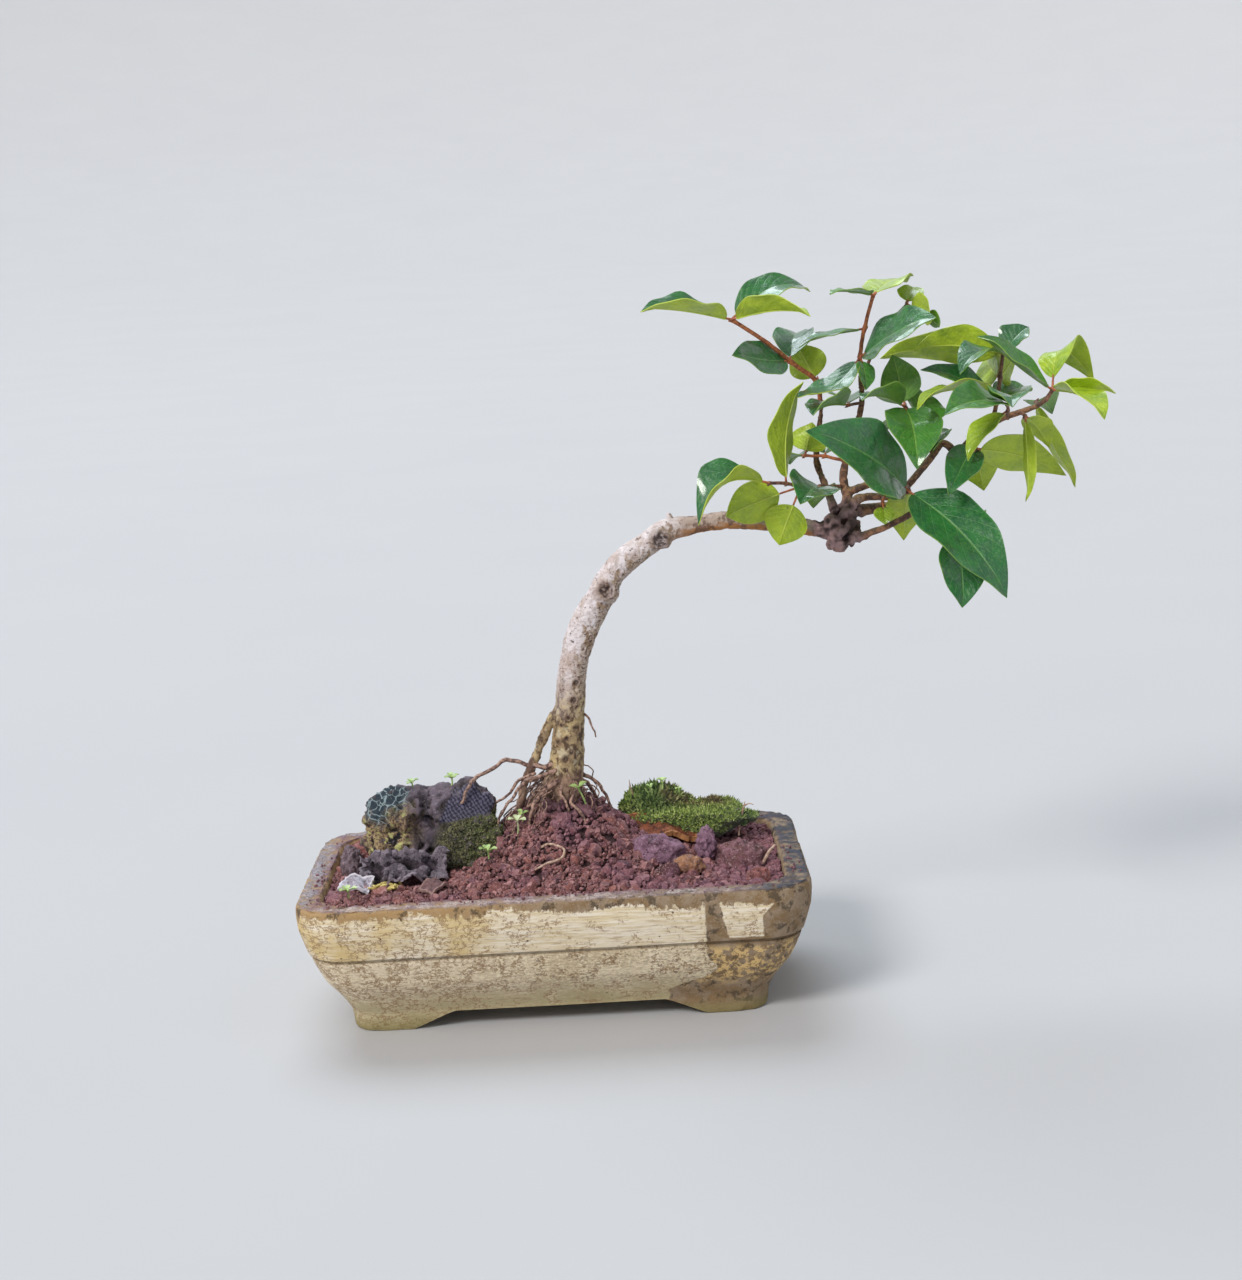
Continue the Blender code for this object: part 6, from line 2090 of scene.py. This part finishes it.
SHEETS = (
    BarkSheet("bark_chip", DeadBark("chip_bark", (140, 74, 42), (46, 24, 20), (184, 128, 80)), "red_bark",
              (42.5, 14, 60), 31, 17, 0, 22, 2.5, 0.7, 2.2, 1.0),
    BarkSheet("bark_ribbon", DeadBark("ribbon_bark", (82, 68, 78), (26, 20, 27), (158, 146, 158)),
              "grey_bark", (-60, -15, 55.5), 34, 14, 3, 42, 2.5, 0.8, 1.0, 5.5),
    BarkSheet("bark_flake_pale", DeadBark("flake_pale", (204, 200, 214), (124, 112, 122), (226, 222, 232)),
              "grey_bark", (-78, -23, 54.0), 13, 8, -20, 30, 1.5, 0.6, 1.2, 0.9),
    BarkSheet("bark_flake_brown", DeadBark("flake_brown", (132, 98, 98), (84, 58, 60), (166, 134, 128)),
              "grey_bark", (-47, -32, 53.7), 12, 7, 60, 20, 2.5, 0.4, 1.2, 0.5),
)


@dataclass(frozen=True)
class Stone:
    """A lava stone bedded in the soil: its place and lift above the soil, half sizes and turn."""

    name: str
    place: Point
    half_size: Point
    seed: int
    turn: float
    finish: LavaStone

    def relief(self, place: Vector, normal: Vector) -> float:
        """How far its broken surface stands out or in.

        Args:
            place: where, mm.
            normal: the way out there; not used.

        Returns:
            The push, mm.
        """
        size = self.half_size[0]
        pores = max(0.0, bumps(place, 1.5, 13) - 0.3)
        return 0.09 * size * ridges(place, 0.5 * size, 3) + 0.3 * bumps(place, 1.8, 5) - 0.7 * pores - 0.2

    def build(self) -> None:
        """Make the stone."""
        x, y, lift = self.place
        sketch = Sketch()
        sketch.add(lump((x, y, mound(x, y) + lift), self.half_size, self.seed, 0.22, 5, self.turn))
        mesh = sketch.mesh(self.name)
        sculpt(mesh, self.relief)
        show(self.name + "_piece", mesh, [self.finish], [self.name], 50)


PURPLE_ROCK = LavaStone("purple_rock", (148, 112, 134), (92, 60, 76))
DOME_ROCK = LavaStone("dome_rock", (130, 90, 100), (92, 56, 52))
RED_ROCK = LavaStone("red_rock", (148, 92, 86), (104, 62, 62))
STONES = (
    Stone("stone_purple", (41, -12, 1.5), (11, 7, 6.5), 21, -14, PURPLE_ROCK),
    Stone("stone_upright", (61, -9, 6), (4.2, 4.2, 7.2), 22, 0, PURPLE_ROCK),
    Stone("stone_tan", (53, -25, 2.2), (6.0, 4.6, 4.4), 23, 8,
          LavaStone("tan_rock", (168, 122, 88), (116, 78, 66))),
    Stone("stone_dome", (75, -15, 1), (9.8, 8, 8), 24, -10, DOME_ROCK),
    Stone("stone_red", (80, -37, 0), (5, 4.6, 4.4), 25, 20, RED_ROCK),
    Stone("stone_left", (-79, 26, 2), (7.5, 6, 5.5), 26, 0, RED_ROCK),
    Stone("stone_grey", (-82, -1, 4), (4.6, 6, 8), 27, 12,
          LavaStone("grey_rock", (124, 108, 116), (82, 66, 72))),
)


@dataclass(frozen=True)
class Sprout:
    """A seedling: a stem and small round leaves.

    foot: where it stands, mm; lean: the way to its top; reach and width: of a leaf, mm.
    """

    name: str
    foot: Point
    lean: Point
    seed: int
    leaves: int = 3
    reach: float = 4.0
    width: float = 3.3
    finish: Tender = SPROUT

    def leaflet(self, top: Vector, reach: Vector) -> Shape:
        """One leaf as a thin closed pad.

        Args:
            top: where it grows, mm.
            reach: the way to its far edge.

        Returns:
            Its shape.
        """
        along = reach.normalized()
        across = along.cross(Vector((0, 0, 1))).normalized()
        up = across.cross(along)
        rows, columns = 9, 7
        points = []
        for side in (0.14, -0.14):
            for row in range(rows):
                t = row / (rows - 1)
                half = self.width / 2 * max(0.12, sin(pi * (0.06 + 0.9 * t ** 1.25)) ** 0.7)
                notch = 0.1 * fade(t, 0.8, 1.0)
                for column in range(columns):
                    s = 2 * column / (columns - 1) - 1
                    distance = reach.length * (0.16 + 0.84 * t) * (1 - notch * (1 - abs(s)))
                    rise = 0.25 * half * s * s + 0.1 * reach.length * sin(pi * t) + side
                    points.append(tuple(top + along * distance + across * half * s + up * rise))
        count = rows * columns
        faces: Faces = []
        for a, b, c, d in squares(rows, columns):
            faces += [(a, d, c, b), (count + b, count + c, count + d, count + a)]
        faces += [(here, there, count + there, count + here) for here, there in paired(brink(rows, columns))]
        return np.array(points), faces

    def draw(self, sketch: Sketch) -> None:
        """Draw the seedling.

        Args:
            sketch: the piece that it is drawn in.
        """
        rng = random.Random(self.seed)
        foot = Vector(self.foot)
        top = foot + Vector(self.lean)
        path, radii = fair((foot - Vector((0, 0, 2.5)), foot, foot.lerp(top, 0.5) + Vector((0.3, 0, 0)), top),
                           (0.42, 0.42, 0.36, 0.32), 3)
        sketch.add(tube(path, radii, 8))
        start = rng.uniform(0, 360)
        for index in range(self.leaves):
            angle = radians(start + 360 / self.leaves * index)
            reach = Vector((cos(angle), sin(angle), rng.uniform(0.1, 0.5))) * self.reach
            sketch.add(self.leaflet(top, reach))
            sketch.add(tube([top, top + reach * 0.12, top + reach * 0.22], [0.3, 0.26, 0.24], 6))

    def build(self) -> None:
        """Make the seedling that stands for its solid."""
        sketch = Sketch()
        self.draw(sketch)
        show(self.name + "_plant", sketch, [self.finish], [self.name], 50)


SEEDLINGS = (
    Sprout("seedling_front", (-26, -16, mound(-26, -16)), (0, -1, 5), 53),
    Sprout("seedling_slope", (-14, -8, mound(-14, -8)), (0, -1, 6), 54, finish=PALE_SPROUT),
    Sprout("seedling_root", (14, 0, mound(14, 0)), (-3, -3, 9), 55),
    Sprout("seedling_rim", (-80, -36, mound(-80, -36)), (0, -1, 4), 56),
)


@dataclass
class Details:
    """Small living and dry things that grow on the larger pieces or lie on the soil."""

    sprouts: tuple[Sprout, ...] = (
        Sprout("s", (-56.5, 8, 83), (0, 0, 4), 71, 3, 2.8, 2.4),
        Sprout("s", (-40.5, 6, 84.5), (0.5, 0, 4), 72, 4, 3.2, 2.4),
        Sprout("s", (45, 25, 73.5), (0, 0, 4.5), 73, 4, 2.2, 1.8),
        Sprout("s", (51, 25, 71), (1, 0, 3), 74, 3, 1.8, 1.5),
        Sprout("s", (41, 24, 73), (-1, 0, 3), 75, 3, 1.8, 1.5),
        Sprout("s", (-12, -2, mound(-12, -2)), (0, -2, 4), 76, 3, 2.6, 2.2))
    stalks: tuple[tuple[tuple[Point, ...], float], ...] = (
        (((75.5, 17, 55), (76, 17, 60), (77.5, 17, 65), (78.6, 17, 69)), 0.45),
        (((78, 17, 67), (80, 16, 68.5), (82, 16, 68)), 0.3),
        (tuple((x, y, mound(x, y) + lift) for x, y, lift in (
            (-5, -19, -1), (-1, -21, 1.2), (4.5, -25, 1.8), (3, -29, 1.4), (-3, -31, 1.3), (-9, -33, 0.4))),
            0.55),
        (((82, -20, 53), (85, -18, 56.4), (88, -15, 59)), 0.7),
        (((33, 26, 72), (32, 25, 76), (31.5, 25, 79)), 0.3))

    def lichen(self, sketch: Sketch) -> None:
        """Draw the curls of yellow lichen at the foot of the ribbon.

        Args:
            sketch: the piece that they are drawn in.
        """
        rng = random.Random(83)
        for _ in range(15):
            x, y = -66 + rng.uniform(-5, 5), -24 + rng.uniform(-3, 3)
            base = Vector((x, y, mound(x, y) - 1))
            lean = Vector((rng.uniform(-1, 1), rng.uniform(-1, 0.4), 1)).normalized()
            places = [base, base + lean * 2.2 + Vector((rng.uniform(-1, 1), 0, 0)),
                      base + lean * 3.8 + Vector((0, rng.uniform(-1, 1), 0)),
                      base + lean * 4.6 + Vector((rng.uniform(-1.6, 1.6), -0.6, -0.3))]
            path, radii = fair(places, (0.9, 0.8, 0.6, 0.35), 4)
            sketch.add(tube(path, radii, 7))

    def build(self) -> None:
        """Make the small things."""
        green = Sketch()
        for sprout in self.sprouts:
            sprout.draw(green)
        show("small_sprouts", green, [SPROUT], sharp=50)
        dry = Sketch()
        for places, width in self.stalks:
            path, radii = fair(places, [width] * (len(places) - 1) + [width * 0.5], 5)
            path = [path[0]] + [place + noise.noise_vector(place / 3) * width * 0.6 for place in path[1:]]
            dry.add(tube(path, radii, 8))
        show("dry_stalks", dry, [DRY_STALK], sharp=60)
        curls = Sketch()
        self.lichen(curls)
        show("curly_lichen", curls, [CURLY_LICHEN], sharp=60)


# Studio


@dataclass
class Studio:
    """The plain pale floor, the soft lights and the camera."""

    camera_place: Point = (31.4, -873.0, 299.5)
    pitch: float = 0.1781
    roll: float = -0.0553
    lens: float = 2231 / 1242 * 36
    floor_rings: Section = (
        (6, 0), (9, 0.2), (12, 0.9), (15, 2.2), (18, 4.1), (21, 6.8), (24, 10.4), (26, 15))

    def floor(self) -> None:
        """Lay the floor, a sheet that curves up far off on every side."""
        bm = bmesh.new()
        sides = 96
        rings = []
        for radius, height in self.floor_rings:
            angles = [tau * index / sides for index in range(sides)]
            places = [(radius * cos(angle), radius * sin(angle), height) for angle in angles]
            rings.append([bm.verts.new(place) for place in places])
        bm.faces.new(rings[0])
        for inner, outer in zip(rings, rings[1:]):
            for index in range(sides):
                following = (index + 1) % sides
                bm.faces.new((inner[index], outer[index], outer[following], inner[following]))
        mesh = bpy.data.meshes.new("floor")
        bm.to_mesh(mesh)
        bm.free()
        mesh.shade_smooth()
        mesh.materials.append(dressed(PaleFloor("pale_floor")))
        floor = bpy.data.objects.new("floor", mesh)
        bpy.context.scene.collection.objects.link(floor)

    def light(self, name: str, place: Point, spread: float, strength: float, colour: Point) -> None:
        """Hang a soft light, far off, that looks at the plant.

        Args:
            name: the light's name.
            place: the way to it from the plant.
            spread: how wide it looks from the plant, radians.
            strength: its strength, W to the square metre.
            colour: its colour.
        """
        lamp = bpy.data.lights.new(name, "SUN")
        lamp.angle = spread
        lamp.energy = strength
        lamp.color = colour
        item = bpy.data.objects.new(name, lamp)
        item.location = Vector(place) + MIDDLE
        item.rotation_euler = (-Vector(place)).to_track_quat("-Z", "Y").to_euler()
        bpy.context.scene.collection.objects.link(item)

    def camera(self) -> None:
        """Stand the camera where the photograph was taken."""
        forward = Vector((0, cos(self.pitch), -sin(self.pitch)))
        upward = Vector((0, sin(self.pitch), cos(self.pitch)))
        right = Vector((1, 0, 0))
        c, s = cos(self.roll), sin(self.roll)
        turned = Matrix((right * c + upward * s, upward * c - right * s, -forward)).transposed()
        data = bpy.data.cameras.new("camera")
        data.sensor_fit = "HORIZONTAL"
        data.sensor_width = 36
        data.lens = self.lens
        data.clip_start = 0.01
        camera = bpy.data.objects.new("camera", data)
        camera.matrix_world = Matrix.Translation(Vector(self.camera_place) * MM + MIDDLE) @ turned.to_4x4()
        bpy.context.scene.collection.objects.link(camera)
        bpy.context.scene.camera = camera

    def build(self) -> None:
        """Set up the studio."""
        self.camera()
        self.floor()
        self.light("key", (-0.8, -0.95, 1.0), 0.34, 2.3, (1.0, 0.975, 0.94))
        self.light("fill", (1.2, -0.7, 0.7), 0.7, 0.25, (0.93, 0.96, 1.0))
        self.light("sky", (-0.25, 0.75, 1.05), 0.7, 1.9, (0.84, 0.93, 1.0))
        world = bpy.data.worlds.new("studio")
        world.use_nodes = True
        world.node_tree.nodes["Background"].inputs["Color"].default_value = (0.84, 0.86, 0.89, 1)
        world.node_tree.nodes["Background"].inputs["Strength"].default_value = 0.42
        bpy.context.scene.world = world
        bpy.context.scene.view_settings.view_transform = "Standard"


def main() -> None:
    """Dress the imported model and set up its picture."""
    logging.basicConfig(level=logging.INFO, format="%(name)s: %(message)s")
    noise.seed_set(WIGGLE_SEED)
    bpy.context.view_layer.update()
    Studio().build()
    Pot().build()
    Soil().build()
    Trunk().build()
    for spray in SPRAYS:
        spray.build()
    Stump().build()
    MossCushion().build()
    for piece in (*SHEETS, *STONES, *SEEDLINGS):
        piece.build()
    Details().build()


if __name__ == "__main__":
    main()
